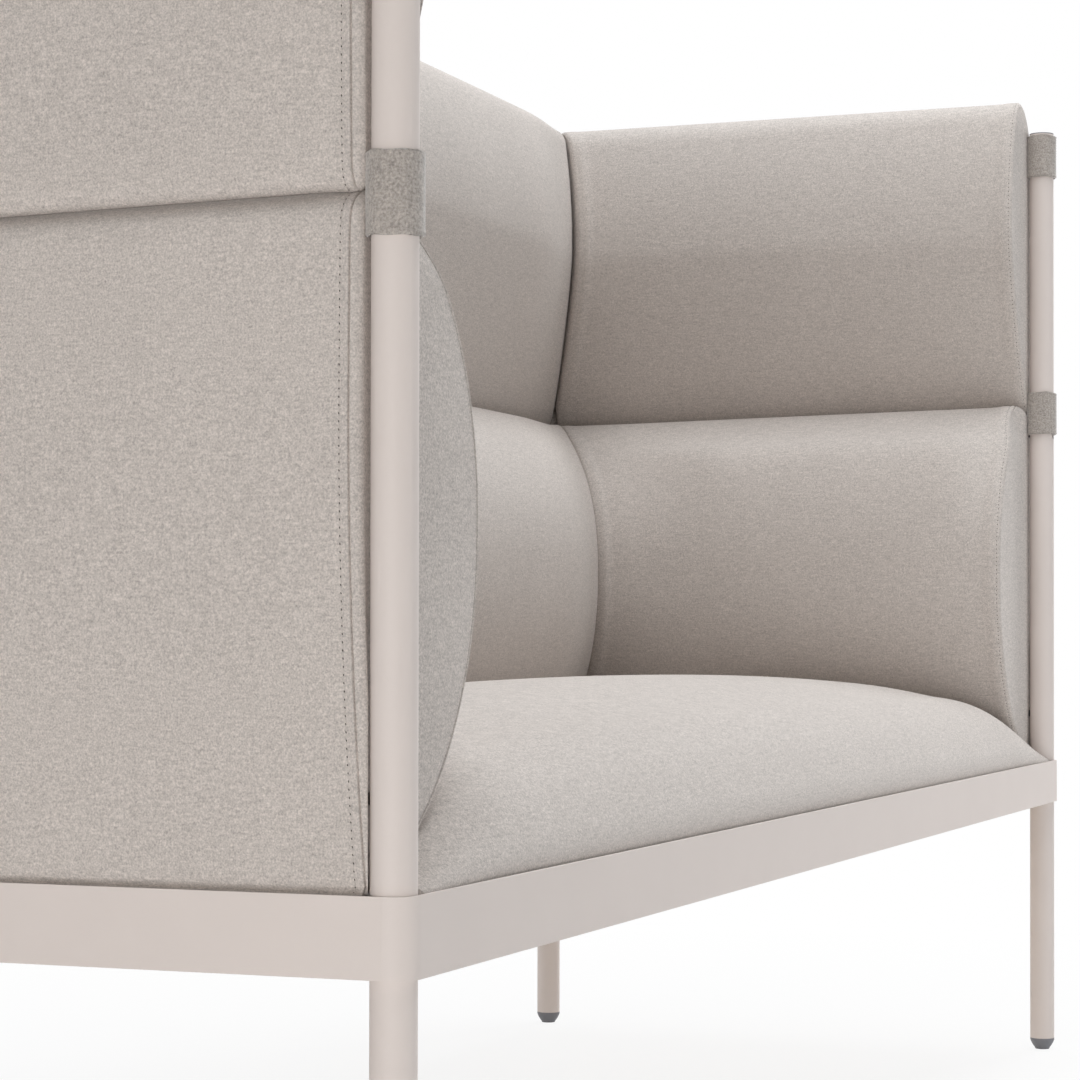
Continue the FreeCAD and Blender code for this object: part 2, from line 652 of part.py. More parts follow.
def panel_solid(side, tier, inset):
    """A panel's form, shrunk by inset: a loft along the run, mitred where it meets the next side."""
    body = new_body("PanelSolid")
    run = PANEL_RUNS[side]
    end = f"({TIER_END[tier]} + {inset})"
    mitred = corner_stations(tier, end)
    first = mitred if "start" in MITRED[side] else [(end, 0)]
    last = mitred if "end" in MITRED[side] else [(end, 0)]
    stations = [(place, 0, draw) for place, draw in first]
    stations.append((f"{run} / 2", 1, 0))
    stations += [(f"{run} - {place}", 0, draw) for place, draw in reversed(last)]
    sketches = []
    for place, swell, draw in stations:
        sketch = new_sketch(body, "YZ_Plane", place)
        draw_loop(sketch, *PROFILES[tier](inset, swell, draw))
        sketches.append(sketch)
    loft(body, sketches, True)
    reach = "(lower_depth + upper_depth)"
    gap = f"(mitre_gap / 2 + {math.sqrt(2)} * ({inset}))"
    for edge in MITRED[side]:
        sketch = new_sketch(body, "XY_Plane")
        if edge == "start":
            wedge = [(gap, "0"), (f"{gap} + {reach}", reach), (f"-{reach}", reach), (f"-{reach}", "0")]
        else:
            wedge = [(f"{run} - {gap}", "0"), (f"{run} + {reach}", "0"), (f"{run} + {reach}", reach),
                     (f"{run} - {gap} - {reach}", reach)]
        draw_loop(sketch, wedge)
        pocket(body, sketch, "2 * upper_top", True)
    return body


def place_panel(thing, side):
    across, along, degrees = SIDES[side]
    turned(thing, degrees, f"{across} * post_span_x / 2", f"{along} * post_span_y / 2")


def board_box(tier, gap):
    """The corners of a core's section, grown by a gap."""
    bottom = {"lower": "lower_bottom + lower_board_bottom", "upper": "joint_height + upper_board_bottom"}[tier]
    top = {"lower": "joint_height - lower_board_top", "upper": "upper_top - upper_board_top"}[tier]
    return rectangle(f"-board_outside - {gap}", f"{bottom} - {gap}",
                     f"board_thickness - board_outside + {gap}", f"{top} + {gap}")


def board_end(tier):
    return f"({TIER_END[tier]} + cover_thickness + board_gap)"


def end_holes(tier, bolt_hole, pin_hole):
    """The heights and diameters of the holes in a panel's ends."""
    holes = [(height, bolt_hole) for height in BOLT_HEIGHTS[tier]]
    return holes + [("pin_height", pin_hole)] if tier == "lower" else holes


def make_panel_board(side, tier):
    """The plywood core, with holes in its ends for threaded inserts and locating pins."""
    body = new_body("PanelBoard")
    run = PANEL_RUNS[side]
    end = board_end(tier)
    sketch = new_sketch(body, "YZ_Plane", end)
    draw_loop(sketch, board_box(tier, "0"))
    pad(body, sketch, f"{run} - 2 * {end}")
    for place, reverse in ((end, True), (f"{run} - {end}", False)):
        holes = new_sketch(body, "YZ_Plane", place)
        for height, diameter in end_holes(tier, "insert_diameter", "pin_diameter + 2 * pin_clearance"):
            draw_circle(holes, "0", height, diameter)
        pocket(body, holes, "insert_length", reverse)
    place_panel(body, side)
    piece(body, f"panel_{side}_{tier}_board")


def make_panel_foam(side, tier):
    """The foam block, slotted right along for the core."""
    body = panel_solid(side, tier, "(cover_thickness + foam_gap)")
    slot = new_sketch(body, "YZ_Plane")
    draw_loop(slot, board_box(tier, "board_gap"))
    pocket(body, slot, PANEL_RUNS[side], True)
    place_panel(body, side)
    piece(body, f"panel_{side}_{tier}_foam")


def make_panel_cover(side, tier):
    """The sewn cover, a closed skin with holes in its ends for the fasteners."""
    outer = panel_solid(side, tier, "0")
    holes = new_sketch(outer, "YZ_Plane")
    bolt_hole = "bolt_diameter + 2 * bolt_clearance"
    for height, diameter in end_holes(tier, bolt_hole, "pin_diameter + 2 * pin_clearance"):
        draw_circle(holes, "0", height, diameter)
    pocket(outer, holes, PANEL_RUNS[side], True)
    cover = cut("PanelCover", outer, panel_solid(side, tier, "cover_thickness"))
    place_panel(cover, side)
    piece(cover, f"panel_{side}_{tier}_cover")


# Panel fasteners, each drawn along +X from a post axis

def lying(body, corners, bows=None):
    """Turn a loop, drawn as distance from the post axis and radius, about the X axis."""
    sketch = new_sketch(body, "XZ_Plane")
    draw_loop(sketch, corners, bows)
    feature = body.newObject("PartDesign::Revolution", "Revolution")
    feature.Profile = sketch
    feature.ReferenceAxis = (sketch, ["H_Axis"])
    feature.Angle = 360
    return feature


def fastener_places(tier, heights):
    """Every post and direction that a tier's panels are fastened in, at the given heights."""
    places = []
    for side, (across, along, degrees) in SIDES.items():
        turn = FreeCAD.Rotation(Z_AXIS, degrees)
        start = FreeCAD.Vector(across * value("post_span_x") / 2, along * value("post_span_y") / 2, 0)
        far = start + turn.multVec(FreeCAD.Vector(value(PANEL_RUNS[side]), 0, 0))
        for point, angle in ((start, degrees), (far, degrees + 180)):
            for height in heights:
                lifted = point + FreeCAD.Vector(0, 0, value(height))
                places.append(FreeCAD.Placement(lifted, FreeCAD.Rotation(Z_AXIS, angle)))
    return places


HEAD_SEAT = f"({INNER_RADIUS} - washer_thickness)"


def make_bolts(tier):
    """Button-head bolts from inside the posts to the inserts in the panels' cores."""
    body = new_body("Bolt")
    tip = f"({board_end(tier)} + insert_length - bolt_tail)"
    lying(body, [(f"{HEAD_SEAT} - bolt_head_height", "0"), (tip, "0"), (tip, "bolt_diameter / 2"),
                 (HEAD_SEAT, "bolt_diameter / 2"), (HEAD_SEAT, "bolt_head_diameter / 2"),
                 (f"{HEAD_SEAT} - bolt_head_height / 2", "bolt_head_diameter / 2")],
          {5: dome_bow("bolt_head_diameter / 2", "bolt_head_height / 2")})
    group(f"{tier}_panel_bolts", body, fastener_places(tier, BOLT_HEIGHTS[tier]))


def make_inserts():
    """Threaded sleeves, one for each bolt."""
    places = []
    for tier in BOLT_HEIGHTS:
        shift = FreeCAD.Placement(FreeCAD.Vector(value(board_end(tier)), 0, 0), FreeCAD.Rotation())
        places += [at.multiply(shift) for at in fastener_places(tier, BOLT_HEIGHTS[tier])]
    body = new_body("Insert")
    lying(body, [("0", "bolt_diameter / 2"), ("insert_length", "bolt_diameter / 2"),
                 ("insert_length", "insert_diameter / 2"), ("0", "insert_diameter / 2")])
    group("panel_inserts", body, places)


def make_washers():
    """Saddle washers: flat under the bolt's head, rounded to the inside of the tube."""
    body = new_body("Washer")
    sketch = new_sketch(body, "YZ_Plane", HEAD_SEAT)
    draw_circle(sketch, "0", "0", "washer_diameter")
    draw_circle(sketch, "0", "0", "bolt_diameter + 2 * bolt_clearance")
    pad(body, sketch, "post_wall + washer_thickness")
    ring = new_sketch(body, "XY_Plane", "-washer_diameter")
    draw_circle(ring, "0", "0", "3 * post_diameter")
    draw_circle(ring, "0", "0", f"2 * {INNER_RADIUS}")
    pocket(body, ring, "2 * washer_diameter", True)
    places = [at for tier in BOLT_HEIGHTS for at in fastener_places(tier, BOLT_HEIGHTS[tier])]
    group("saddle_washers", body, places)


def make_pins():
    """Plain pins through the posts' walls into the lower panels' cores."""
    body = new_body("Pin")
    tip = f"({board_end('lower')} + insert_length - bolt_tail)"
    lying(body, [(INNER_RADIUS, "0"), (tip, "0"), (tip, "pin_diameter / 4"),
                 (f"{tip} - pin_diameter / 4", "pin_diameter / 2"), (INNER_RADIUS, "pin_diameter / 2")])
    group("locating_pins", body, fastener_places("lower", ["pin_height"]))


# Assembly

for corner in CORNERS:
    make_post(corner)
    make_glide(corner)
    make_cap(corner)
    make_loop(corner, "middle", "joint_height", ALL_BOLTS[:2])
    make_loop(corner, "top", "(post_top - loop_height / 2)", ALL_BOLTS[2:])
make_band()
for side, (span, across, degrees, screws) in BEARERS.items():
    make_bearer(side, span, across, degrees, screws)
for name, place in CROSS_BARS.items():
    make_cross_bar(name, place)
make_seat_board()
make_seat_screws()
make_seat()
for side in SIDES:
    for tier in PROFILES:
        make_panel_board(side, tier)
        make_panel_foam(side, tier)
        make_panel_cover(side, tier)
for tier in BOLT_HEIGHTS:
    make_bolts(tier)
make_inserts()
make_washers()
make_pins()

doc.recompute()
for thing in doc.Objects:
    if {"Invalid", "Error"} & set(thing.State):
        raise ValueError(f"{thing.Name} ({thing.Label}) failed: {thing.State}")
for thing in pieces:
    if thing.Shape.isNull() or not thing.Shape.isValid():
        raise ValueError(f"{thing.Label} has no valid shape")
os.makedirs("parts", exist_ok=True)
for thing in pieces:
    thing.Shape.exportStep(f"parts/{thing.Label}.step")
print(len(pieces), "pieces written")
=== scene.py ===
"""Looks of a high-back sofa: padded panels and seat, seams and stitches, felt loops, coats and stage."""

import json
import math
from collections import namedtuple

import bpy
import numpy as np
from mathutils import Matrix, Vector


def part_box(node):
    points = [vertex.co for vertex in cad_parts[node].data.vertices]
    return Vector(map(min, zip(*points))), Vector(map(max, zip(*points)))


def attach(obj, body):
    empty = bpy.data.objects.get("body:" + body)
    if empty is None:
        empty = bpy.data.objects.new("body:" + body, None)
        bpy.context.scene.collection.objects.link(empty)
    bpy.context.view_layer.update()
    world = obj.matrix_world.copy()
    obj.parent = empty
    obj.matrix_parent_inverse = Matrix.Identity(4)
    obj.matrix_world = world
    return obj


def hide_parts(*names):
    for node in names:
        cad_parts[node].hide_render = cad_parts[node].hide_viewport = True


bl_info = {
    "name": "High-back sofa",
    "version": (1, 0, 0),
    "blender": (4, 5, 0),
    "location": "3D View > Sidebar > Sofa",
    "description": "Dresses the sofa's frame with its upholstery, loops, coats and stage",
    "category": "Object",
}

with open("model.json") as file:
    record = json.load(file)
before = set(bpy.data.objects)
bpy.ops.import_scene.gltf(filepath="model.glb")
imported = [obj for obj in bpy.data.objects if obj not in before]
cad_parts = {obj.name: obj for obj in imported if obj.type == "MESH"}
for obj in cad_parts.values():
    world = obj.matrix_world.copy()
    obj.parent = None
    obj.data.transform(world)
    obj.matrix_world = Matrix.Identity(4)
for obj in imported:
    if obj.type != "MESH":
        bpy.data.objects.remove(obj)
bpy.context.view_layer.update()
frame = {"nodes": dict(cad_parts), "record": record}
NODES = frame["nodes"]
SLOT_OF = {row["node"]: row["material_slot"] for row in frame["record"]["subparts"]}

# Places read from the frame, in metres
POST_LOW, POST_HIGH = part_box("post_front_right")
POST_RADIUS = (POST_HIGH.x - POST_LOW.x) / 2
HALF_X = (POST_LOW.x + POST_HIGH.x) / 2
HALF_Y = -(POST_LOW.y + POST_HIGH.y) / 2
BAND_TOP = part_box("base_band")[1].z
SEAT_LOW, SEAT_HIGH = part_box("seat_cover")
MM = 0.001

# Each side: where its run starts, its turn about the vertical, its length and which of its ends are mitred
Side = namedtuple("Side", "corner degrees run mitred")
SIDES = {
    "left": Side((-HALF_X, HALF_Y), -90, 2 * HALF_Y, (True, False)),
    "right": Side((HALF_X, -HALF_Y), 90, 2 * HALF_Y, (False, True)),
    "back": Side((HALF_X, HALF_Y), 180, 2 * HALF_X, (True, True)),
}
CORNERS = {"front_left": (-1, -1), "front_right": (1, -1), "back_left": (-1, 1), "back_right": (1, 1)}


# Properties

def length(name, description, default):
    """A length in metres, written here in millimetres."""
    return bpy.props.FloatProperty(name=name, description=description, default=default * MM, unit="LENGTH",
                                   precision=5)


def colour(name, description, default):
    """A colour in linear red, green and blue."""
    return bpy.props.FloatVectorProperty(name=name, description=description, default=default, size=3,
                                         subtype="COLOR", min=0, max=1)


class SofaSizes(bpy.types.PropertyGroup):
    """Sizes of the upholstery."""
    back_draw: length("Back draw", "How far the back's faces are drawn in at the corners", 41)
    back_reach: length("Back reach", "Run over which the back's faces are drawn in", 150)
    side_draw: length("Side draw", "How far the sides' faces are drawn in at the back corners", 4)
    side_reach: length("Side reach", "Run over which the sides' faces are drawn in", 45)
    panel_swell: length("Panel swell", "Swell of a panel halfway along", 4)
    edge_roll: length("Edge roll", "Radius of a panel's rolled front edge", 6.4)
    mitre_roll: length("Mitre roll", "Radius of a panel's rolled edge at a back corner", 5.5)
    seam_depth: length("Seam depth", "Depth of a seam's groove", 1.9)
    seam_lip: length("Seam lip", "Height of the lips beside a seam", 0.35)
    stitch_valley: length("Stitch valley", "Depth of the cloth under the stitches", 0.6)
    gusset_crown: length("Gusset crown", "Bulge of a panel's end", 0.4)
    stitch_pitch: length("Stitch pitch", "Distance from stitch to stitch", 4.7)
    foot_draw: length("Foot draw", "How far the outer face is drawn in beside a front post at the foot", 2.5)
    foot_tuck: length("Foot tuck", "How far the outer edge is drawn towards its front post at the foot", 10)
    foot_reach: length("Foot reach", "Run over which both fade out along the face", 75)
    shoulder_fold: length("Shoulder fold", "Bulge of a lower side panel along the fold under its top", 44)
    back_fold: length("Back fold", "Bulge of the lower back panel along the fold under its top", 12)
    top_round: length("Top round", "How far the inner top of a lower panel's front end leans back", 10)
    seat_shoulder: length("Seat shoulder", "Seat's shoulder above its rim", 88)
    seat_crown: length("Seat crown", "Seat's crown above its shoulders", 19)
    loop_thickness: length("Loop thickness", "Thickness of the felt loops", 3.1)
    loop_height: length("Loop height", "Height of the felt loops", 49.5)
    seat_limit: length("Seat limit", "Most that the cloth simulation may move the seat's cover", 3.2)
    sim_limit: length("Cloth limit", "Most that the cloth simulation may move a cover", 6)


class SofaFinish(bpy.types.PropertyGroup):
    """Colours of the finishes."""
    cloth: colour("Cloth", "Mean colour of the covers", (0.565, 0.511, 0.473))
    felt: colour("Felt", "Mean colour of the loops", (0.405, 0.364, 0.331))
    coat: colour("Coat", "Powder coat of the steel frame", (0.70, 0.625, 0.585))
    plastic: colour("Plastic", "Glides and caps", (0.20, 0.20, 0.215))


def sizes():
    """The sofa's sizes, as the sidebar has them."""
    return bpy.context.scene.sofa_sizes


def finish():
    """The sofa's colours, as the sidebar has them."""
    return bpy.context.scene.sofa_finish


# Curves and grids

def bowed(start, end, bow, count):
    """Points on the arc from start to end whose middle stands out from the chord, to its right, by bow."""
    start = np.array(start, float)
    end = np.array(end, float)
    chord = end - start
    span = np.linalg.norm(chord)
    outward = np.array([chord[1], -chord[0]]) / span
    radius = (span ** 2 / 4 + bow ** 2) / (2 * bow)
    centre = (start + end) / 2 - outward * (radius - bow)
    first = math.atan2(*(start - centre)[::-1])
    last = math.atan2(*(end - centre)[::-1])
    turn = (last - first) % (2 * math.pi)
    angles = first + turn * np.linspace(0, 1, count, endpoint=False)
    return centre + radius * np.stack([np.cos(angles), np.sin(angles)], -1)


def resampled(points, count):
    """A closed curve's points again, evenly spaced along its length."""
    closed = np.vstack([points, points[:1]])
    along = np.concatenate([[0], np.cumsum(np.linalg.norm(np.diff(closed, axis=0), axis=1))])
    wanted = np.linspace(0, along[-1], count, endpoint=False)
    return np.stack([np.interp(wanted, along, closed[:, axis]) for axis in range(points.shape[1])], -1)


def softened(points, reach):
    """A closed curve averaged along its length with a bell-shaped weight of the given reach."""
    step = np.linalg.norm(np.roll(points, -1, 0) - points, axis=1).mean()
    waves = np.fft.fftfreq(len(points), d=step)
    bell = np.exp(-2 * (math.pi * waves * reach) ** 2)
    return np.real(np.fft.ifft(np.fft.fft(points, axis=0) * bell[:, None], axis=0))


def outward_normals(points):
    """Unit normals of an anticlockwise closed curve, pointing out of it."""
    along = np.roll(points, -1, 0) - np.roll(points, 1, 0)
    across = np.stack([along[:, 1], -along[:, 0]], -1)
    return across / np.linalg.norm(across, axis=1)[:, None]


def mesh_object(name, points, faces, smooth=True):
    """A new object at the origin from arrays of points and faces."""
    mesh = bpy.data.meshes.new(name)
    mesh.from_pydata(np.asarray(points, float).reshape(-1, 3).tolist(), [], faces)
    mesh.polygons.foreach_set("use_smooth", np.full(len(mesh.polygons), smooth))
    mesh.update()
    piece = bpy.data.objects.new(name, mesh)
    bpy.context.scene.collection.objects.link(piece)
    return piece


def tube_faces(rows, columns):
    """Quads between neighbouring rings, and a fan to a pole at each end; the poles are the last points."""
    row, column = np.meshgrid(np.arange(rows - 1), np.arange(columns), indexing="ij")
    following = (column + 1) % columns
    quads = np.stack([row * columns + column, (row + 1) * columns + column,
                      (row + 1) * columns + following, row * columns + following], -1).reshape(-1, 4)
    ring = np.arange(columns)
    after = (ring + 1) % columns
    first = np.stack([np.full(columns, rows * columns), ring, after], -1)
    base = (rows - 1) * columns
    last = np.stack([np.full(columns, rows * columns + 1), base + after, base + ring], -1)
    return quads.tolist() + first.tolist() + last.tolist()


def dress(piece, material, nodes=()):
    """Give a piece its material and its body, and hide the nodes that it stands for."""
    piece.data.materials.append(material)
    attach(piece, "root")
    if nodes:
        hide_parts(*nodes)
    return piece


# Panels

# Points round a section
RING = 184
# Sections in mm: each corner's depth from the posts' axes, its height, and the bow of the arc after it
LOWER_ARCS = [((12, 341), 44), ((167, 557), 37), ((40, 757), 3), ((2, 746), 4), ((-14, 730), 2),
              ((-14, 339.5), 1)]
UPPER_ARCS = [((2, 744), 12), ((102, 944), 9), ((77, 1087), 6.5), ((40, 1113), 16.5), ((-12, 1052), 2),
              ((-12, 757), 4)]
# Each tier: its section, its depth, its ends' distance from the posts' axes, and how full its cover is
Tier = namedtuple("Tier", "arcs depth end fill")
TIERS = {"lower": Tier(LOWER_ARCS, 167, 15.3, 0.92), "upper": Tier(UPPER_ARCS, 102, 15.2, 0.88)}
# Run of the mitre planes per depth of a side panel
MITRE = 0.75
# Height below which a lower panel's front foot is drawn in, and the slope of the plane that it stays behind
FOOT_TOP = 640 * MM
POST_PLANE = (0.41, 0.914)
# Height of the fold under the lower panels' tops, and how fast its bulge falls off above and below
FOLD_HEIGHT = 713 * MM
FOLD_ABOVE = 26 * MM
FOLD_BELOW = 70 * MM
FOLD_SOFTNESS = 0.06
# Drop of the joint between the tiers: along the back, from front to back on the sides, and its rise in front
BACK_DROP = 8 * MM
SIDE_DROP = 11 * MM
FRONT_RISE = 1 * MM
# Rings at a panel's end: their distances from the seam, and their shares of the flat
SEAM_STEPS = np.array([-11, -8, -6, -4.5, -3.4, -2.6, -2, -1.5, -1.1, -0.8, -0.55, -0.35, -0.17, 0, 0.17,
                       0.35, 0.55, 0.8, 1.1, 1.5, 2, 2.6, 3.4, 4.2, 5, 5.6, 6.2, 7, 8, 9.5, 12, 15]) * MM
CAP_SHARES = np.linspace(0.05, 0.97, 14)
# Distance of the stitches from the seam, and the ring that they lie on
STITCH_STEP = 6.2 * MM
STITCH_ROW = len(CAP_SHARES) + int(np.argmin(np.abs(SEAM_STEPS - STITCH_STEP)))


def section(tier, draw):
    """A panel's section as a closed curve of arcs, in metres; the inner side is drawn in by draw."""
    arcs = TIERS[tier].arcs
    depth = TIERS[tier].depth
    slim = (depth - draw / MM) / depth
    corners = [((b * slim if b > 0 else b), z) for (b, z), bow in arcs]
    runs = [bowed(corners[i], corners[(i + 1) % len(arcs)], arcs[i][1] * (slim if i < 2 else 1), 120)
            for i in range(len(arcs))]
    curve = resampled(np.vstack(runs), 8 * RING)
    return resampled(softened(curve, 6.0), RING) * MM


def smooth_step(values, low, high):
    """0 below low, 1 above high and a smooth S between."""
    share = np.clip((values - low) / (high - low), 0, 1)
    return share * share * (3 - 2 * share)


def seam_dip(offset, mitred):
    """Depth of the cloth beside a seam: a narrow groove, a lip on each side and the stitches' valley."""
    size = sizes()
    groove = size.seam_depth * np.exp(-(offset / (0.5 * MM)) ** 2)
    lips = np.exp(-((offset - 1.7 * MM) / MM) ** 2) + 0.5 * np.exp(-((offset + 1.7 * MM) / MM) ** 2)
    valley = np.exp(-((offset - STITCH_STEP) / (1.5 * MM)) ** 2)
    return groove - size.seam_lip * lips + size.stitch_valley * valley * (not mitred)


def end_path(mitred, reach, normals):
    """Inset and distance from the end for every row and ring point, from the end's flat out on to the face.
    The edge is rolled; its seam lies on the face outside, and on the flat where the inner side faces in."""
    size = sizes()
    inner = np.ones(RING) if mitred else smooth_step(normals[:, 0], -0.3, 0.5)
    roll = (size.mitre_roll if mitred else size.edge_roll) - 1.4 * MM * inner
    quarter = roll * math.pi / 2
    seam = (quarter + 0.8 * MM) * (1 - inner) - 0.5 * MM * inner
    along = seam + SEAM_STEPS[:, None]
    turn = np.clip(along / roll, 0, math.pi / 2)
    dip = seam_dip(SEAM_STEPS, mitred)[:, None]
    inset = roll * (1 - np.sin(turn)) - np.minimum(along, 0) + dip * np.sin(turn)
    place = roll * (1 - np.cos(turn)) + np.maximum(along - quarter, 0) + dip * np.cos(turn)
    caps = place[0] * CAP_SHARES[:, None] - size.gusset_crown * (1 - CAP_SHARES[:, None] ** 2)
    steps = np.linspace(0, 1, 20)[1:, None] ** 1.3
    run = place[-1] + (reach - place[-1]) * steps
    far = np.zeros_like(run)
    shares = np.concatenate([CAP_SHARES, np.ones(len(SEAM_STEPS) + len(run))])[:, None]
    inset = np.concatenate([np.repeat(inset[:1], len(CAP_SHARES), 0), inset, far])
    return shares, inset, np.concatenate([caps, place, run])


def panel_end(side, tier, mitred):
    """Rings at one end, as places along the run, depths and heights. A mitred end follows a slanting plane,
    and the back's faces are drawn in towards it along a parabola."""
    size = sizes()
    draw = size.back_draw if side == "back" else size.side_draw
    reach = size.back_reach if side == "back" else size.side_reach
    plain = section(tier, 0)
    normals = outward_normals(plain)
    shares, inset, place = end_path(mitred, reach, normals)
    weight = np.clip(1 - np.maximum(place, 0) / reach, 0, 1)[:, :, None] ** 2 * mitred
    curve = plain * (1 - weight) + section(tier, draw) * weight
    flat = np.minimum(inset, 3 * MM)[:, :, None]
    curve = curve - flat * normals
    centre = curve.mean(1, keepdims=True)
    spoke = curve - centre
    length_of = np.linalg.norm(spoke, axis=2, keepdims=True)
    curve = centre + spoke * (1 - (inset[:, :, None] - flat) / length_of) * shares[:, :, None]
    wall = np.full(curve.shape[:2], TIERS[tier].end * MM)
    if mitred:
        slant = curve[:, :, 0] * mitre_slope(side) + 0.5 * MM
        wall = (wall + slant + np.sqrt((wall - slant) ** 2 + (3 * MM) ** 2)) / 2
    elif tier == "lower":
        wall, curve = front_foot(wall, place, curve)
    return np.concatenate([(wall + place)[:, :, None], curve], 2)


def mitre_slope(side):
    """Run of a side's mitre planes per depth: the back's is the inverse of the side panels'."""
    return 1 / MITRE if side == "back" else MITRE


def front_foot(wall, place, curve):
    """A lower panel's front end: at the foot its outer edge is tucked towards its post, though not past a
    slanting plane beside the post, and its outer face is drawn in; the inner top leans back."""
    size = sizes()
    share = foot_share(place, curve)
    depth = curve[:, :, 0]
    tucked = wall + place - size.foot_tuck * share * smooth_step(-depth, 5 * MM, 12 * MM)
    depth = depth + size.foot_draw * share * np.clip((30 * MM - depth) / (44 * MM), 0, 1)
    sine, cosine = POST_PLANE
    behind_post = np.minimum((POST_RADIUS + MM + sine * depth) / cosine, wall + place)
    wall = np.maximum(tucked, behind_post) - place
    top = smooth_step(curve[:, :, 1], 700 * MM, 752 * MM) * smooth_step(depth, 15 * MM, 50 * MM)
    wall = wall + size.top_round * top * (1 - smooth_step(place, 4 * MM, 60 * MM))
    return wall, np.stack([depth, curve[:, :, 1]], 2)


def foot_share(place, curve):
    """Share of the draw at a lower panel's front foot: it grows with the square of the depth below the middle
    of the panel, and fades out along the face."""
    low = np.clip((FOOT_TOP - curve[:, :, 1]) / (FOOT_TOP - BAND_TOP), 0, 1) ** 2
    return low * (1 - smooth_step(place, 4 * MM, sizes().foot_reach))


def fold_bulge(side, rings, run):
    """Bulge of a lower panel along the fold under its top: a soft peak over the height, falling off quickly
    above and slowly below, and fading at both ends."""
    rise = rings[:, :, 2] - FOLD_HEIGHT
    rise = np.where(rise > 0, rise / FOLD_ABOVE, rise / FOLD_BELOW)
    peak = np.exp(-np.sqrt(rise ** 2 + FOLD_SOFTNESS))
    fade = 1.0
    for mitred, along in zip(SIDES[side].mitred, (rings[:, :, 0], run - rings[:, :, 0])):
        near = along - mitre_slope(side) * rings[:, :, 1] * mitred
        fade_run = (190 if mitred else 75) * MM
        fade = fade * smooth_step(near, 14 * MM, fade_run)
    inner = smooth_step(rings[:, :, 1], 20 * MM, 60 * MM)
    bulge = sizes().back_fold if side == "back" else sizes().shoulder_fold
    return bulge * peak * fade * inner


def joint_drop(side, tier, rings, run):
    """Drop of the joint between the tiers: even along the back, and growing from front to back on the sides;
    it fades out over the height of each tier."""
    share = rings[:, :, 0] / run
    if side == "left":
        share = 1 - share
    drop = np.full(share.shape, BACK_DROP) if side == "back" else SIDE_DROP * share - FRONT_RISE
    if tier == "lower":
        return drop * smooth_step(rings[:, :, 2], 620 * MM, 745 * MM)
    return drop * (1 - smooth_step(rings[:, :, 2], 750 * MM, 880 * MM))


def panel_points(side, tier):
    """A panel's rings from end to end, swelling a little halfway along its inner side."""
    run = SIDES[side].run
    mitred = SIDES[side].mitred
    start = panel_end(side, tier, mitred[0])
    last = panel_end(side, tier, mitred[1])[::-1].copy()
    last[:, :, 0] = run - last[:, :, 0]
    count = max(int(run / (14 * MM)) - 20, 6)
    blend = np.linspace(0, 1, count + 2)[1:-1, None, None]
    rings = np.concatenate([start, start[-1] * (1 - blend) + last[0] * blend, last])
    hump = np.clip(1 - (2 * rings[:, :, 0] / run - 1) ** 2, 0, 1)
    inner = np.clip(rings[:, :, 1] / (TIERS[tier].depth * MM), 0, 1)
    rings[:, :, 1] += sizes().panel_swell * hump * inner
    if tier == "lower":
        rings[:, :, 1] += fold_bulge(side, rings, run)
    rings[:, :, 2] -= joint_drop(side, tier, rings, run)
    return rings


def placed(points, side):
    """Points in a side's own frame, turned and moved to where that side stands."""
    turn = np.array(Matrix.Rotation(math.radians(SIDES[side].degrees), 3, "Z"))
    return points @ turn.T + np.array([*SIDES[side].corner, 0])


def panel_piece(side, tier, rings, material):
    """A panel's closed mesh from its rings, with a pole in the middle of each end."""
    points = placed(rings.reshape(-1, 3), side)
    poles = placed(np.stack([rings[0].mean(0), rings[-1].mean(0)]), side)
    name = f"panel_{side}_{tier}"
    piece = mesh_object(name, np.vstack([points, poles]), tube_faces(*rings.shape[:2]))
    return dress(piece, material, (f"{name}_cover", f"{name}_foam"))


# Cloth simulation

SIM_FRAMES = 16


def settled(points, faces, pins, pressure, shrink, limit):
    """How far each point of a cover moves when it is filled: cloth under inner pressure, pinned at its seams,
    run for a few frames without gravity. Long moves are shortened to the limit."""
    probe = mesh_object("settling", points, faces)
    group = probe.vertex_groups.new(name="pins")
    group.add(np.flatnonzero(pins).tolist(), 1.0, "REPLACE")
    cloth = probe.modifiers.new("cloth", "CLOTH")
    cloth.settings.quality = 4
    cloth.settings.mass = 0.3
    cloth.settings.tension_stiffness = 40
    cloth.settings.compression_stiffness = 40
    cloth.settings.shear_stiffness = 20
    cloth.settings.bending_stiffness = 20
    cloth.settings.shrink_min = shrink
    cloth.settings.vertex_group_mass = "pins"
    cloth.settings.use_pressure = True
    cloth.settings.uniform_pressure_force = pressure
    cloth.settings.effector_weights.gravity = 0
    cloth.point_cache.frame_end = SIM_FRAMES
    scene = bpy.context.scene
    for number in range(1, SIM_FRAMES + 1):
        scene.frame_set(number)
    shape = probe.evaluated_get(bpy.context.evaluated_depsgraph_get()).to_mesh()
    after = np.empty(len(points) * 3)
    shape.vertices.foreach_get("co", after)
    move = after.reshape(-1, 3) - points
    scene.frame_set(1)
    mesh = probe.data
    bpy.data.objects.remove(probe)
    bpy.data.meshes.remove(mesh)
    reach = np.linalg.norm(move, axis=1, keepdims=True)
    return move * limit * np.tanh(reach / limit) / np.maximum(reach, 1e-9)


def spread_rows(values, coarse, count):
    """Values known on some rows, read off for every row between by straight lines."""
    wanted = np.arange(count)
    spot = np.interp(wanted, coarse, np.arange(len(coarse)))
    low = np.clip(spot.astype(int), 0, len(coarse) - 2)
    share = (spot - low).reshape(-1, *[1] * (values.ndim - 1))
    return values[low] * (1 - share) + values[low + 1] * share


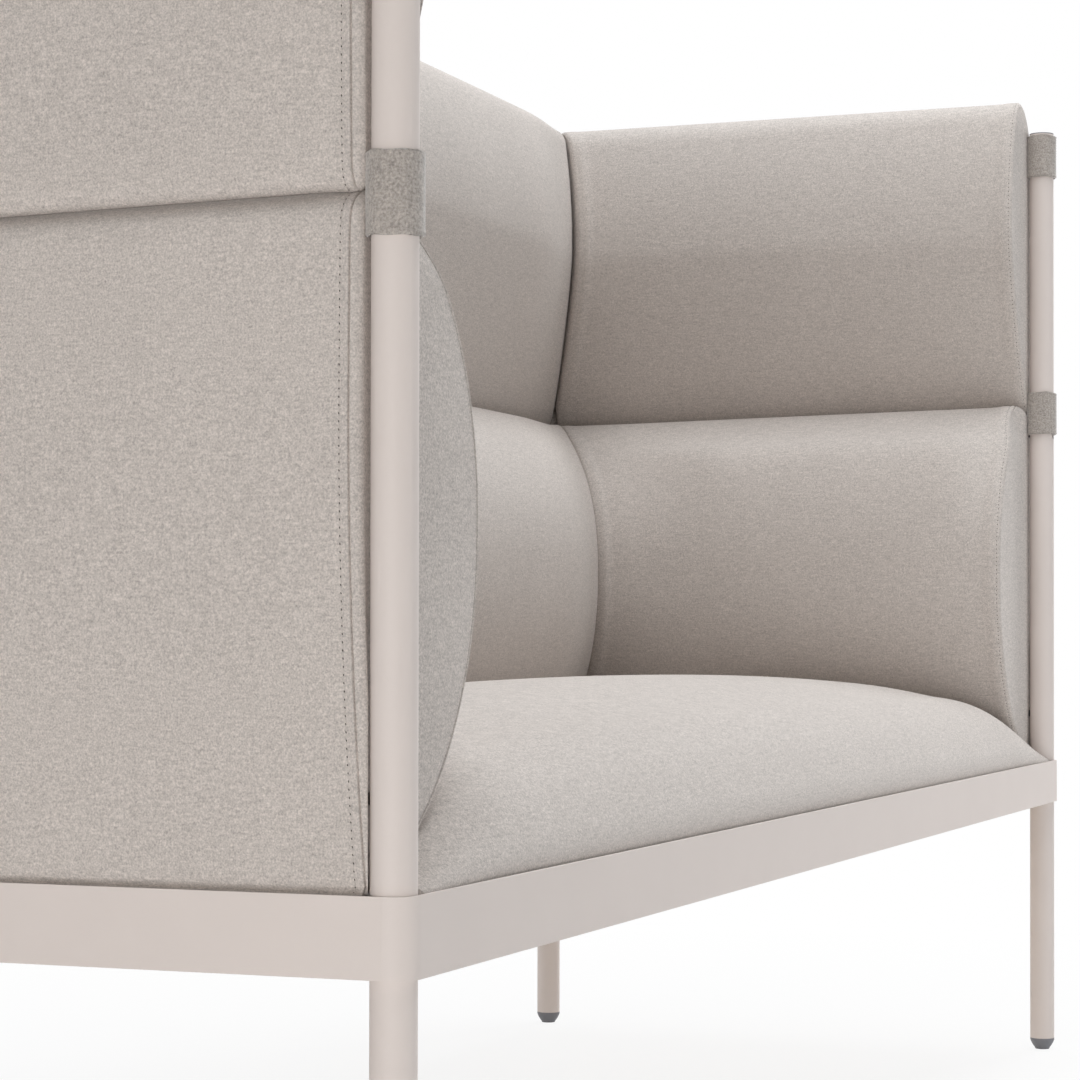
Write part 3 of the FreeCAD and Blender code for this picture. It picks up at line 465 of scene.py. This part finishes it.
def smoothed_round(values, reach):
    """Values round a closed ring, averaged over neighbours with a bell-shaped weight."""
    waves = np.fft.fftfreq(len(values))
    bell = np.exp(-2 * (math.pi * waves * reach) ** 2).reshape(-1, *[1] * (values.ndim - 1))
    return np.real(np.fft.ifft(np.fft.fft(values, axis=0) * bell, axis=0))


def calmed(values, passes):
    """Values on a grid averaged with their neighbours both ways, again and again; the rim stays at rest."""
    for turn in range(passes):
        inside = values[1:-1] / 2 + (values[:-2] + values[2:]) / 4
        values = np.concatenate([values[:1], inside, values[-1:]])
        inside = values[:, 1:-1] / 2 + (values[:, :-2] + values[:, 2:]) / 4
        values = np.concatenate([values[:, :1], inside, values[:, -1:]], 1)
    return values


def filled_panel(rings):
    """A panel's rings after its cover is filled: a coarse copy between the seams is simulated as cloth,
    and its smoothed move is laid over the fine rings, fading out at the stitches."""
    first = STITCH_ROW + 4
    last = len(rings) - 1 - first
    rows = np.unique(np.concatenate([np.arange(first, last, 2), [last]]))
    columns = np.arange(0, RING, 2)
    coarse = rings[rows][:, columns]
    quads = [face for face in tube_faces(len(rows), len(columns)) if len(face) == 4]
    pins = np.zeros(coarse.shape[:2], bool)
    pins[[0, -1]] = True
    pins |= coarse[:, :, 1] < 6 * MM
    move = settled(coarse.reshape(-1, 3), quads, pins.reshape(-1), 2.5, 0.012, sizes().sim_limit)
    move = move.reshape(coarse.shape)
    ring_move = smoothed_round(np.swapaxes(move, 0, 1), 7)
    closed = np.concatenate([ring_move, ring_move[:1]])
    ring_move = spread_rows(closed, np.append(columns, RING), RING)
    fine = spread_rows(np.swapaxes(ring_move, 0, 1), rows, len(rings))
    row = np.arange(len(rings))
    fade = smooth_step(np.minimum(row - first, last - row), -1, 8)
    return rings + fine * fade[:, None, None]


# Stitches

def bead(count, length, width, height):
    """A small closed bead: rings along x whose radius follows a half circle, with its poles last."""
    angles = np.linspace(0, math.pi, count + 2)[1:-1]
    spin = np.linspace(0, 2 * math.pi, 6, endpoint=False)
    x = -np.cos(angles)[:, None] * np.ones(6) * length / 2
    y = np.sin(angles)[:, None] * np.cos(spin) * width / 2
    z = np.sin(angles)[:, None] * np.sin(spin) * height / 2
    points = np.stack([x, y, z], -1).reshape(-1, 3)
    return np.vstack([points, [[-length / 2, 0, 0], [length / 2, 0, 0]]]), tube_faces(count, 6)


def scattered(name, bead_parts, origins, along, outward):
    """Copies of a bead, each with its own x along the row and z out of the cloth, as one mesh."""
    points, faces = bead_parts
    across = np.cross(outward, along)
    axes = np.stack([along, across, outward], 1)
    copies = np.einsum("pk,nkc->npc", points, axes) + origins[:, None]
    step = len(points) * np.arange(len(origins))
    quads = np.array([face for face in faces if len(face) == 4])
    fans = np.array([face for face in faces if len(face) == 3])
    many_quads = (quads + step[:, None, None]).reshape(-1, 4)
    many_fans = (fans + step[:, None, None]).reshape(-1, 3)
    return mesh_object(name, copies, many_quads.tolist() + many_fans.tolist())


def unit(vectors):
    """Vectors divided by their lengths."""
    return vectors / np.linalg.norm(vectors, axis=1)[:, None]


def stitch_row(rings, row, side):
    """Evenly spaced places along one ring of a panel, with directions along the row and out of the cloth."""
    ring = placed(rings[row], side)
    beside = placed(rings[row + 1], side)
    total = np.linalg.norm(np.roll(ring, -1, 0) - ring, axis=1).sum()
    count = int(total / sizes().stitch_pitch)
    spots = resampled(ring, count)
    along = unit(np.roll(spots, -1, 0) - np.roll(spots, 1, 0))
    across = resampled(beside, count) - spots
    outward = unit(np.cross(across, along))
    middle = spots.mean(0)
    if (outward * (spots - middle)).sum() < 0:
        outward = -outward
    return spots, along, outward


def stitch_pieces(name, rings, row, side, thread, shadow):
    """Threads that lie slantwise in the cloth, and small dark beads at the holes that they go down by:
    painted shade in the holes.
    """
    spots, along, outward = stitch_row(rings, row, side)
    half = sizes().stitch_pitch / 2
    slant = unit(along + 0.25 * np.cross(outward, along))
    threads = scattered(f"stitches_{name}", bead(3, 3.5 * MM, 1.0 * MM, 0.8 * MM),
                        spots + half * along - 0.05 * MM * outward, slant, outward)
    # Painted shade: each hole is a small dark bead standing for the shade inside it.
    hole_shades = scattered(f"stitch_hole_shades_{name}", bead(3, 1.5 * MM, 0.9 * MM, 0.4 * MM), spots, slant, outward)
    dress(threads, thread)
    dress(hole_shades, shadow)


# Seat

# Where the seat starts to rise from its side rims, beside the panels and in front of them, and over what run
SEAT_TUCKED = 40 * MM
SEAT_FREE = 20 * MM
SEAT_RISE = 205 * MM
# Lowest share of the full height, at the rim, and the loss of share at one metre from the middle
SEAT_RIM = 0.008
SEAT_DOME = 0.24


def seat_profile(y):
    """Height above the rim, front to back: a round front shoulder, a low crown and a long slope behind."""
    size = sizes()
    shoulder = size.seat_shoulder / MM
    corners = [(-325, 3), (-236, shoulder), (67, shoulder), (267, 0.8)]
    arcs = [bowed(corners[i + 1], corners[i], bow, 80)[::-1] for i, bow in
            enumerate((24, size.seat_crown / MM, 16))]
    curve = np.vstack([[[-330, 0]], *arcs, [[267, 0.8], [330, 0]]])
    curve = curve[np.argsort(curve[:, 0], kind="stable")]
    fine = np.linspace(-325, 325, 1301)
    height = np.interp(fine, curve[:, 0], curve[:, 1])
    bell = np.exp(-0.5 * (np.arange(-60, 61) * 0.5 / 7.0) ** 2)
    padded = np.pad(height, 60, mode="edge")
    height = np.convolve(padded, bell / bell.sum(), mode="valid")
    return np.interp(y / MM, fine, height) * MM


def seat_share(x, y):
    """Share of the full height across the seat: it rises from the tucked rims at both sides to a low dome,
    more steeply in front of the panels."""
    inside = SEAT_HIGH.x - np.abs(x)
    tucked = np.sin(math.pi / 2 * np.clip((inside - SEAT_TUCKED) / SEAT_RISE, 0, 1))
    free = np.sin(math.pi / 2 * np.clip((inside - SEAT_FREE) / SEAT_RISE, 0, 1)) ** 0.85
    front = smooth_step(-y, 205 * MM, 300 * MM)
    return SEAT_RIM + (1 - SEAT_RIM - SEAT_DOME * x ** 2) * (tucked * (1 - front) + free * front)


def seat_lines(half, notch, count):
    """Grid lines over one axis, with lines on the notches round the posts and finer steps at the ends."""
    inner = np.sin(np.linspace(-math.pi / 2, math.pi / 2, count)) * notch
    return np.concatenate([np.linspace(-half, -notch, 8)[:-1], inner, np.linspace(notch, half, 8)[1:]])


def sheet_faces(rows, columns):
    """Quads of a grid of points whose rows run along y, facing up."""
    row, column = np.meshgrid(np.arange(rows - 1), np.arange(columns - 1), indexing="ij")
    return np.stack([row * columns + column, (row + 1) * columns + column,
                     (row + 1) * columns + column + 1, row * columns + column + 1], -1).reshape(-1, 4)


def filled_seat(top):
    """The seat's top after its cover is filled: a coarse sheet, pinned where it is tucked in, is simulated as
    cloth, and its move is laid over the fine grid by straight lines both ways."""
    rows = np.unique(np.append(np.arange(0, top.shape[0], 5), top.shape[0] - 1))
    columns = np.unique(np.append(np.arange(0, top.shape[1], 4), top.shape[1] - 1))
    coarse = top[np.ix_(rows, columns)]
    pins = coarse[:, :, 2] < BAND_TOP + 12 * MM
    pins[[0, -1]] = True
    pins[:, [0, -1]] = True
    quads = sheet_faces(*coarse.shape[:2]).tolist()
    move = settled(coarse.reshape(-1, 3), quads, pins.reshape(-1), 1.0, 0.0, sizes().seat_limit)
    move = calmed(move.reshape(coarse.shape), 24)
    across = spread_rows(move, rows, top.shape[0])
    fine = np.swapaxes(spread_rows(np.swapaxes(across, 0, 1), columns, top.shape[1]), 0, 1)
    return top + fine


def seat_piece(material):
    """A closed cushion: the crowned top over a flat underside, with walls along every free edge."""
    half_x = SEAT_HIGH.x - 0.3 * MM
    half_y = SEAT_HIGH.y - 0.3 * MM
    reach = POST_RADIUS + 2 * MM
    lines_x = seat_lines(half_x, HALF_X - reach, 260)
    lines_y = seat_lines(half_y, HALF_Y - reach, 110)
    x, y = np.meshgrid(lines_x, lines_y, indexing="ij")
    rim = BAND_TOP + 0.6 * MM
    edge = np.minimum(half_x - np.abs(x), half_y - np.abs(y))
    roll = 2.5 * MM * (1 - np.clip(edge / (6 * MM), 0, 1)) ** 2
    top = np.stack([x, y, rim + seat_share(x, y) * seat_profile(y) - roll], -1)
    top = filled_seat(top)
    top = top.reshape(-1, 3)
    under = top.copy()
    under[:, 2] = SEAT_LOW.z
    quads = sheet_faces(*x.shape)
    centre = top[quads].mean(1)
    post = (np.abs(centre[:, 0]) > HALF_X - reach) & (np.abs(centre[:, 1]) > HALF_Y - reach)
    quads = quads[~post]
    edges = np.concatenate([quads[:, [i, (i + 1) % 4]] for i in range(4)])
    key = np.sort(edges, 1) @ np.array([len(top), 1])
    first, count = np.unique(key, return_index=True, return_counts=True)[1:]
    border = edges[first[count == 1]]
    shift = len(top)
    walls = np.stack([border[:, 1], border[:, 0], border[:, 0] + shift, border[:, 1] + shift], -1)
    faces = np.concatenate([quads, quads[:, ::-1] + shift, walls])
    points = np.vstack([top, under])
    used = np.unique(faces)
    new_index = np.zeros(len(points), int)
    new_index[used] = np.arange(len(used))
    piece = mesh_object("seat_cushion", points[used], new_index[faces].tolist())
    return dress(piece, material, ("seat_cover", "seat_foam"))


# Felt loops

# Rows round a loop's section, columns round its post, and how far up some loops sit, in mm
LOOP_ROWS = 80
LOOP_COLUMNS = 96
LOOP_SHIFTS = {("front_left", "middle"): -0.4, ("front_right", "middle"): 5.0}


def loop_piece(corner, level, material):
    """A felt sleeve: a rounded strip section, a little thicker at its rims, turned round the post."""
    low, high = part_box(f"loop_{corner}_{level}")
    across, along = CORNERS[corner]
    height = sizes().loop_height
    thick = sizes().loop_thickness
    inner = POST_RADIUS + 0.25 * MM
    outline = np.concatenate([np.linspace(-1, 1, LOOP_ROWS // 2), np.linspace(1, -1, LOOP_ROWS // 2)])
    outer = np.arange(LOOP_ROWS) < LOOP_ROWS // 2
    reach = np.clip((1 - np.abs(outline)) * height / 2 / (thick / 2), 0, 1)
    bulge = np.sqrt(np.clip(1 - (1 - reach) ** 2, 0, 1))
    lips = 0.45 * MM * np.exp(-((1 - np.abs(outline)) * height / 2 / (2.2 * MM)) ** 2)
    middle = inner + thick / 2
    radius = middle + np.where(outer, 1, -1) * bulge * thick / 2 + np.where(outer, lips * bulge, 0)
    angle = np.linspace(0, 2 * math.pi, LOOP_COLUMNS, endpoint=False)
    phase = 1.7 * across + 0.9 * along + (0.6 if level == "top" else 0)
    wave = 0.5 * np.sin(2 * angle + phase) + 0.3 * np.sin(5 * angle + 2 * phase)
    wobble = 0.35 * MM * np.sin(3 * angle + phase) * np.where(outer, 1, 0)[:, None]
    ridges = 0.3 * MM * np.sin(2 * math.pi * outline * height / (6.4 * MM)) * smooth_step(outline, -0.2, 0.2)
    r = radius[:, None] + wobble + (ridges * outer * (level == "top"))[:, None]
    middle_z = (low.z + high.z) / 2 + LOOP_SHIFTS.get((corner, level), 0) * MM
    z = middle_z + outline[:, None] * (height / 2 + 0.9 * MM * wave * np.sign(outline)[:, None])
    points = np.stack([across * HALF_X + r * np.cos(angle), along * HALF_Y + r * np.sin(angle),
                       np.broadcast_to(z, r.shape)], -1)
    row, column = np.meshgrid(np.arange(LOOP_ROWS), np.arange(LOOP_COLUMNS), indexing="ij")
    this_row = row * LOOP_COLUMNS
    next_row = (row + 1) % LOOP_ROWS * LOOP_COLUMNS
    after = (column + 1) % LOOP_COLUMNS
    faces = np.stack([this_row + column, this_row + after, next_row + after, next_row + column], -1)
    piece = mesh_object(f"felt_loop_{corner}_{level}", points, faces.reshape(-1, 4).tolist())
    return dress(piece, material, (f"loop_{corner}_{level}",))


# Node groups and materials

def link(tree, source, output, target, socket):
    """Join a node's named output to another's input."""
    tree.links.new(source.outputs[output], target.inputs[socket])


def new_group(name, inputs, outputs):
    """An empty shader group with named number inputs and outputs."""
    tree = bpy.data.node_groups.new(name, "ShaderNodeTree")
    tree.interface.new_socket("Vector", in_out="INPUT", socket_type="NodeSocketVector")
    for label, default in inputs.items():
        socket = tree.interface.new_socket(label, in_out="INPUT", socket_type="NodeSocketFloat")
        socket.default_value = default
    for label in outputs:
        tree.interface.new_socket(label, in_out="OUTPUT", socket_type="NodeSocketFloat")
    return tree, tree.nodes.new("NodeGroupInput"), tree.nodes.new("NodeGroupOutput")


def maths(tree, operation, first=None, second=None, values=(0.5, 0.5)):
    """A Math node fed by up to two (node, output) pairs."""
    node = tree.nodes.new("ShaderNodeMath")
    node.operation = operation
    for index, value in enumerate(values):
        node.inputs[index].default_value = value
    for index, source in enumerate((first, second)):
        if source is not None:
            tree.links.new(source[0].outputs[source[1]], node.inputs[index])
    return node


def noise(tree, source, scale, detail, roughness=0.5, stretch=None, output="Vector"):
    """A Noise Texture on a node's output, its scale given or linked, squeezed along each axis by stretch."""
    node = tree.nodes.new("ShaderNodeTexNoise")
    node.inputs["Detail"].default_value = detail
    node.inputs["Roughness"].default_value = roughness
    if stretch:
        mapping = tree.nodes.new("ShaderNodeMapping")
        mapping.inputs["Scale"].default_value = stretch
        link(tree, source, output, mapping, "Vector")
        link(tree, mapping, "Vector", node, "Vector")
    else:
        link(tree, source, output, node, "Vector")
    if isinstance(scale, str):
        link(tree, source, scale, node, "Scale")
    else:
        node.inputs["Scale"].default_value = scale
    return node


def felted_group():
    """Felted wool: a fine irregular grain of light and dark fibres, faint level yarns, broad unevenness."""
    tree, start, end = new_group("felted_wool", {"Grain": 800.0, "Contrast": 1.0}, ("Fleck", "Height"))
    fine = noise(tree, start, "Grain", 2.0, 0.6)
    fibre = noise(tree, start, 400.0, 3.0, 0.65)
    yarn = noise(tree, start, 1.0, 1.0, 0.5, (90, 90, 620))
    broad = noise(tree, start, 9.0, 2.0, 0.5)
    sum_fine = maths(tree, "MULTIPLY_ADD", (fine, "Fac"), None, (0, 0.55, 0.0))
    sum_fibre = maths(tree, "MULTIPLY_ADD", (fibre, "Fac"), None, (0, 0.3, 0.0))
    link(tree, sum_fine, "Value", sum_fibre, 2)
    sum_yarn = maths(tree, "MULTIPLY_ADD", (yarn, "Fac"), None, (0, 0.15, 0.0))
    link(tree, sum_fibre, "Value", sum_yarn, 2)
    centred = maths(tree, "SUBTRACT", (sum_yarn, "Value"), None, (0, 0.5))
    scaled = maths(tree, "MULTIPLY", (centred, "Value"), (start, "Contrast"))
    drift = maths(tree, "MULTIPLY_ADD", (broad, "Fac"), None, (0, 0.08, 0.46))
    fleck = maths(tree, "ADD", (scaled, "Value"), (drift, "Value"))
    fleck.use_clamp = True
    link(tree, fleck, "Value", end, "Fleck")
    link(tree, sum_yarn, "Value", end, "Height")
    return tree


def coated_group():
    """A powder coat's skin: fine pebbling and a faint unevenness of tone."""
    tree, start, end = new_group("powder_skin", {"Pebble": 900.0}, ("Tone", "Height"))
    pebble = noise(tree, start, "Pebble", 1.0, 0.5)
    cloud = noise(tree, start, 14.0, 3.0, 0.55)
    link(tree, cloud, "Fac", end, "Tone")
    link(tree, pebble, "Fac", end, "Height")
    return tree


def new_material(name):
    """A material with its tree, its shader and its coordinates."""
    material = bpy.data.materials.new(name)
    material.use_nodes = True
    tree = material.node_tree
    shader = tree.nodes["Principled BSDF"]
    place = tree.nodes.new("ShaderNodeTexCoord")
    return material, tree, shader, place


def tinted(base, share):
    """A colour made lighter or darker by a share, as four numbers."""
    return (*[min(max(channel * (1 + share), 0), 1) for channel in base], 1)


def tone_mix(tree, source, output, dark, light, shader):
    """Base colour between a dark and a light tone by a group's output."""
    mix = tree.nodes.new("ShaderNodeMix")
    mix.data_type = "RGBA"
    mix.inputs["A"].default_value = dark
    mix.inputs["B"].default_value = light
    tree.links.new(source.outputs[output], mix.inputs["Factor"])
    result = next(socket for socket in mix.outputs if socket.type == "RGBA")
    tree.links.new(result, shader.inputs["Base Color"])


def use_group(tree, group, place, values):
    """A group on object coordinates with its inputs set."""
    node = tree.nodes.new("ShaderNodeGroup")
    node.node_tree = group
    link(tree, place, "Object", node, "Vector")
    for label, value in values.items():
        node.inputs[label].default_value = value
    return node


def bumped(tree, source, output, shader, strength, distance):
    """Relief from a node's output."""
    bump = tree.nodes.new("ShaderNodeBump")
    bump.inputs["Strength"].default_value = strength
    bump.inputs["Distance"].default_value = distance
    tree.links.new(source.outputs[output], bump.inputs["Height"])
    link(tree, bump, "Normal", shader, "Normal")


def cloth_material(name, base, spread, grain, contrast, depth, sheen):
    """Wool cloth or felt: flecked tones, a dry surface, a soft sheen and the grain's relief."""
    material, tree, shader, place = new_material(name)
    group = bpy.data.node_groups.get("felted_wool") or felted_group()
    wool = use_group(tree, group, place, {"Grain": grain, "Contrast": contrast})
    tone_mix(tree, wool, "Fleck", tinted(base, -spread), tinted(base, spread), shader)
    shader.inputs["Roughness"].default_value = 0.95
    shader.inputs["Specular IOR Level"].default_value = 0.2
    shader.inputs["Sheen Weight"].default_value = sheen
    shader.inputs["Sheen Roughness"].default_value = 0.45
    bumped(tree, wool, "Height", shader, 0.55, depth)
    return material


def skin_material(name, base, roughness, pebble, depth, spread):
    """A dry coat or moulded plastic with a pebbled skin."""
    material, tree, shader, place = new_material(name)
    group = bpy.data.node_groups.get("powder_skin") or coated_group()
    skin = use_group(tree, group, place, {"Pebble": pebble})
    tone_mix(tree, skin, "Tone", tinted(base, -spread), tinted(base, spread), shader)
    shader.inputs["Roughness"].default_value = roughness
    shader.inputs["Specular IOR Level"].default_value = 0.36
    bumped(tree, skin, "Height", shader, 0.25, depth)
    return material


def oxide_material():
    """Blackened steel: cloudy dark grey with a satin finish."""
    material, tree, shader, place = new_material("black_oxide")
    group = bpy.data.node_groups.get("powder_skin") or coated_group()
    skin = use_group(tree, group, place, {"Pebble": 1600.0})
    tone_mix(tree, skin, "Tone", (0.025, 0.025, 0.027, 1), (0.05, 0.05, 0.053, 1), shader)
    shader.inputs["Metallic"].default_value = 1.0
    shader.inputs["Roughness"].default_value = 0.38
    bumped(tree, skin, "Height", shader, 0.1, 0.0001)
    return material


def plywood_material():
    """Birch plywood: long soft grain along the board."""
    material, tree, shader, place = new_material("birch_plywood")
    grain = noise(tree, place, 1.0, 4.0, 0.5, (3, 3, 160), "Object")
    tone_mix(tree, grain, "Fac", (0.52, 0.36, 0.21, 1), (0.74, 0.58, 0.40, 1), shader)
    shader.inputs["Roughness"].default_value = 0.7
    bumped(tree, grain, "Fac", shader, 0.2, 0.0003)
    return material


def shared(name, maker, *values):
    """A material by name, made the first time that it is asked for."""
    return bpy.data.materials.get(name) or maker(name, *values)


def cover_cloth():
    """The cloth of the covers."""
    return shared("cover_cloth", cloth_material, finish().cloth, 0.46, 850.0, 2.2, 0.0008, 0.12)


def thread_cloth():
    """The thread of the stitches."""
    return shared("stitch_thread", cloth_material, finish().cloth, 0.10, 1500.0, 1.0, 0.0002, 0.1)


def hole_shade_cloth():
    """Painted shade: the dark cloth of the beads that stand for the shade in the holes that the stitches go
    down by.
    """
    # Painted shade: a near-black cloth colour for the shade in the stitch holes.
    return shared("stitch_shadow", cloth_material, (0.075, 0.066, 0.058), 0.2, 1500.0, 1.0, 0.0002, 0.0)


def loop_felt():
    """The felt of the loops."""
    return shared("felt_wrap", cloth_material, finish().felt, 0.52, 640.0, 2.4, 0.0013, 0.5)


# Operators

class SOFA_OT_panels(bpy.types.Operator):
    """Make the six padded panels and sew the stitches beside their end seams"""
    bl_idname = "sofa.panels"
    bl_label = "Padded panels"

    def execute(self, context):
        for side in SIDES:
            for tier in TIERS:
                rings = panel_points(side, tier)
                rings = filled_panel(rings)
                panel_piece(side, tier, rings, cover_cloth())
                rows = (STITCH_ROW, len(rings) - 1 - STITCH_ROW)
                for row, mitred in zip(rows, SIDES[side].mitred):
                    if not mitred:
                        stitch_pieces(f"{side}_{tier}", rings, row, side, thread_cloth(), hole_shade_cloth())
        return {"FINISHED"}


class SOFA_OT_seat(bpy.types.Operator):
    """Make the seat cushion"""
    bl_idname = "sofa.seat"
    bl_label = "Seat cushion"

    def execute(self, context):
        seat_piece(cover_cloth())
        return {"FINISHED"}


class SOFA_OT_loops(bpy.types.Operator):
    """Wrap the felt loops round the posts"""
    bl_idname = "sofa.loops"
    bl_label = "Felt loops"

    def execute(self, context):
        for corner in CORNERS:
            for level in ("middle", "top"):
                loop_piece(corner, level, loop_felt())
        return {"FINISHED"}


class SOFA_OT_coats(bpy.types.Operator):
    """Coat the steel frame, glides, caps, cores and fasteners"""
    bl_idname = "sofa.coats"
    bl_label = "Coats"

    def execute(self, context):
        coats = {
            "frame_paint": skin_material("powder_coat", finish().coat, 0.55, 1100.0, 0.00008, 0.03),
            "glide_plastic": skin_material("grey_plastic", finish().plastic, 0.5, 1500.0, 0.0001, 0.08),
            "fastener_steel": oxide_material(),
            "plywood": plywood_material(),
            "cover_fabric": cover_cloth(),
            "foam": cover_cloth(),
            "loop_felt": loop_felt(),
        }
        for name, node in NODES.items():
            node.data.materials.clear()
            node.data.materials.append(coats[SLOT_OF[name]])
        return {"FINISHED"}


class SOFA_OT_stage(bpy.types.Operator):
    """Set the floor, light and camera"""
    bl_idname = "sofa.stage"
    bl_label = "Stage"

    def execute(self, context):
        make_floor()
        make_world()
        make_lamp("overhead", (0.4, -0.4, 3.2), (0, 0), (3.6, 2.0), 94.0, (0.93, 0.97, 1.0))
        make_lamp("left_fill", (-4.6, -0.75, 0.25), (91, -80), (1.8, 0.6), 73.0, (1.0, 0.985, 0.97))
        make_lamp("front_fill", (0.6, -3.9, 0.9), (84, 6), (2.4, 1.4), 19.0, (0.96, 0.98, 1.0))
        make_lamp("right_rim", (5.0, -1.5, 0.8), (88, 78), (1.2, 1.6), 115.0, (0.97, 0.985, 1.0), False)
        make_lamp("back_fill", (0.2, 4.2, 0.6), (88, 180), (2.6, 0.8), 42.0, (1.0, 0.985, 0.97), False)
        make_camera()
        return {"FINISHED"}


# Stage

def make_floor():
    """A wide pale disc under the sofa, seen as white far off and with the sofa's shadow near by."""
    ring = np.linspace(0, 2 * math.pi, 96, endpoint=False)
    points = np.stack([30 * np.cos(ring), 30 * np.sin(ring), np.full(96, -0.0005)], -1)
    floor = mesh_object("floor", points, [list(range(96))], False)
    material, tree, shader, place = new_material("pale_floor")
    shader.inputs["Base Color"].default_value = (0.9, 0.9, 0.9, 1)
    shader.inputs["Roughness"].default_value = 0.9
    glow = tree.nodes.new("ShaderNodeEmission")
    path = tree.nodes.new("ShaderNodeLightPath")
    mix = tree.nodes.new("ShaderNodeMixShader")
    distance = tree.nodes.new("ShaderNodeVectorMath")
    distance.operation = "LENGTH"
    link(tree, place, "Object", distance, 0)
    fade = tree.nodes.new("ShaderNodeMapRange")
    fade.inputs["From Min"].default_value = 0.6
    fade.inputs["From Max"].default_value = 2.2
    fade.inputs["To Min"].default_value = 0.86
    fade.inputs["To Max"].default_value = 1.0
    link(tree, distance, "Value", fade, "Value")
    seen = maths(tree, "ADD", (path, "Is Camera Ray"), (path, "Is Glossy Ray"))
    seen.use_clamp = True
    amount = maths(tree, "MULTIPLY", (seen, "Value"), (fade, "Result"))
    link(tree, amount, "Value", mix, "Fac")
    tree.links.new(shader.outputs["BSDF"], mix.inputs[1])
    tree.links.new(glow.outputs["Emission"], mix.inputs[2])
    link(tree, mix, "Shader", tree.nodes["Material Output"], "Surface")
    floor.data.materials.append(material)


def make_world():
    """Even white light; the camera and reflections see plain white."""
    world = bpy.data.worlds.new("studio")
    bpy.context.scene.world = world
    world.use_nodes = True
    tree = world.node_tree
    light = tree.nodes["Background"]
    light.inputs["Color"].default_value = (1, 1, 1, 1)
    light.inputs["Strength"].default_value = 0.18
    white = tree.nodes.new("ShaderNodeBackground")
    white.inputs["Color"].default_value = (1, 1, 1, 1)
    white.inputs["Strength"].default_value = 1.0
    path = tree.nodes.new("ShaderNodeLightPath")
    seen = maths(tree, "ADD", (path, "Is Camera Ray"), (path, "Is Glossy Ray"))
    clear = maths(tree, "ADD", (seen, "Value"), (path, "Is Transmission Ray"))
    clear.use_clamp = True
    mix = tree.nodes.new("ShaderNodeMixShader")
    link(tree, clear, "Value", mix, "Fac")
    tree.links.new(light.outputs["Background"], mix.inputs[1])
    tree.links.new(white.outputs["Background"], mix.inputs[2])
    link(tree, mix, "Shader", tree.nodes["World Output"], "Surface")


def make_lamp(name, place, degrees, size, power, tint, mirrored=True):
    """A rectangular soft box, tilted up from straight down and then turned about the vertical, in degrees.
    Glossy surfaces mirror it or not."""
    lamp = bpy.data.lights.new(name, "AREA")
    lamp.shape = "RECTANGLE"
    lamp.size, lamp.size_y = size
    lamp.energy = power
    lamp.color = tint
    stand = bpy.data.objects.new(name, lamp)
    stand.location = place
    tilt, turn = degrees
    stand.rotation_euler = (math.radians(tilt), 0, math.radians(turn))
    stand.visible_glossy = mirrored
    bpy.context.scene.collection.objects.link(stand)


def make_camera():
    """A long lens from the front left, a little above the seat."""
    yaw, pitch, roll = (math.radians(angle) for angle in (21.12, 0.79, 0.088))
    forward = np.array([math.cos(pitch) * math.cos(yaw), math.cos(pitch) * math.sin(yaw), math.sin(pitch)])
    level = np.array([math.sin(yaw), -math.cos(yaw), 0])
    above = np.cross(level, forward)
    right = level * math.cos(roll) + above * math.sin(roll)
    up = above * math.cos(roll) - level * math.sin(roll)
    camera = bpy.data.cameras.new("camera")
    camera.lens = 96.45
    camera.sensor_width = 36
    camera.shift_y = 0.0466
    camera.clip_start = 0.05
    stand = bpy.data.objects.new("camera", camera)
    turn = Matrix(np.column_stack([right, up, -forward]).tolist()).to_4x4()
    stand.matrix_world = Matrix.Translation((-2.4656, -0.9912, 0.4923)) @ turn
    bpy.context.scene.collection.objects.link(stand)
    bpy.context.scene.camera = stand


class SOFA_PT_sidebar(bpy.types.Panel):
    """The sofa's operators, sizes and colours"""
    bl_idname = "SOFA_PT_sidebar"
    bl_label = "Sofa"
    bl_space_type = "VIEW_3D"
    bl_region_type = "UI"
    bl_category = "Sofa"

    def draw(self, context):
        for operator in OPERATORS:
            self.layout.operator(operator.bl_idname)
        for group in (context.scene.sofa_sizes, context.scene.sofa_finish):
            for name in group.bl_rna.properties.keys():
                if name not in ("rna_type", "name"):
                    self.layout.prop(group, name)


OPERATORS = (SOFA_OT_coats, SOFA_OT_panels, SOFA_OT_seat, SOFA_OT_loops, SOFA_OT_stage)
CLASSES = (SofaSizes, SofaFinish, *OPERATORS, SOFA_PT_sidebar)


def register():
    """Add the classes and the two groups of properties."""
    for item in CLASSES:
        bpy.utils.register_class(item)
    bpy.types.Scene.sofa_sizes = bpy.props.PointerProperty(type=SofaSizes)
    bpy.types.Scene.sofa_finish = bpy.props.PointerProperty(type=SofaFinish)


def unregister():
    """Take the properties and the classes away again."""
    del bpy.types.Scene.sofa_finish
    del bpy.types.Scene.sofa_sizes
    for item in reversed(CLASSES):
        bpy.utils.unregister_class(item)


def main():
    """Make the sofa and its stage."""
    register()
    bpy.context.scene.view_settings.view_transform = "Standard"
    bpy.ops.sofa.coats()
    bpy.ops.sofa.panels()
    bpy.ops.sofa.seat()
    bpy.ops.sofa.loops()
    bpy.ops.sofa.stage()


if __name__ == "__main__":
    main()
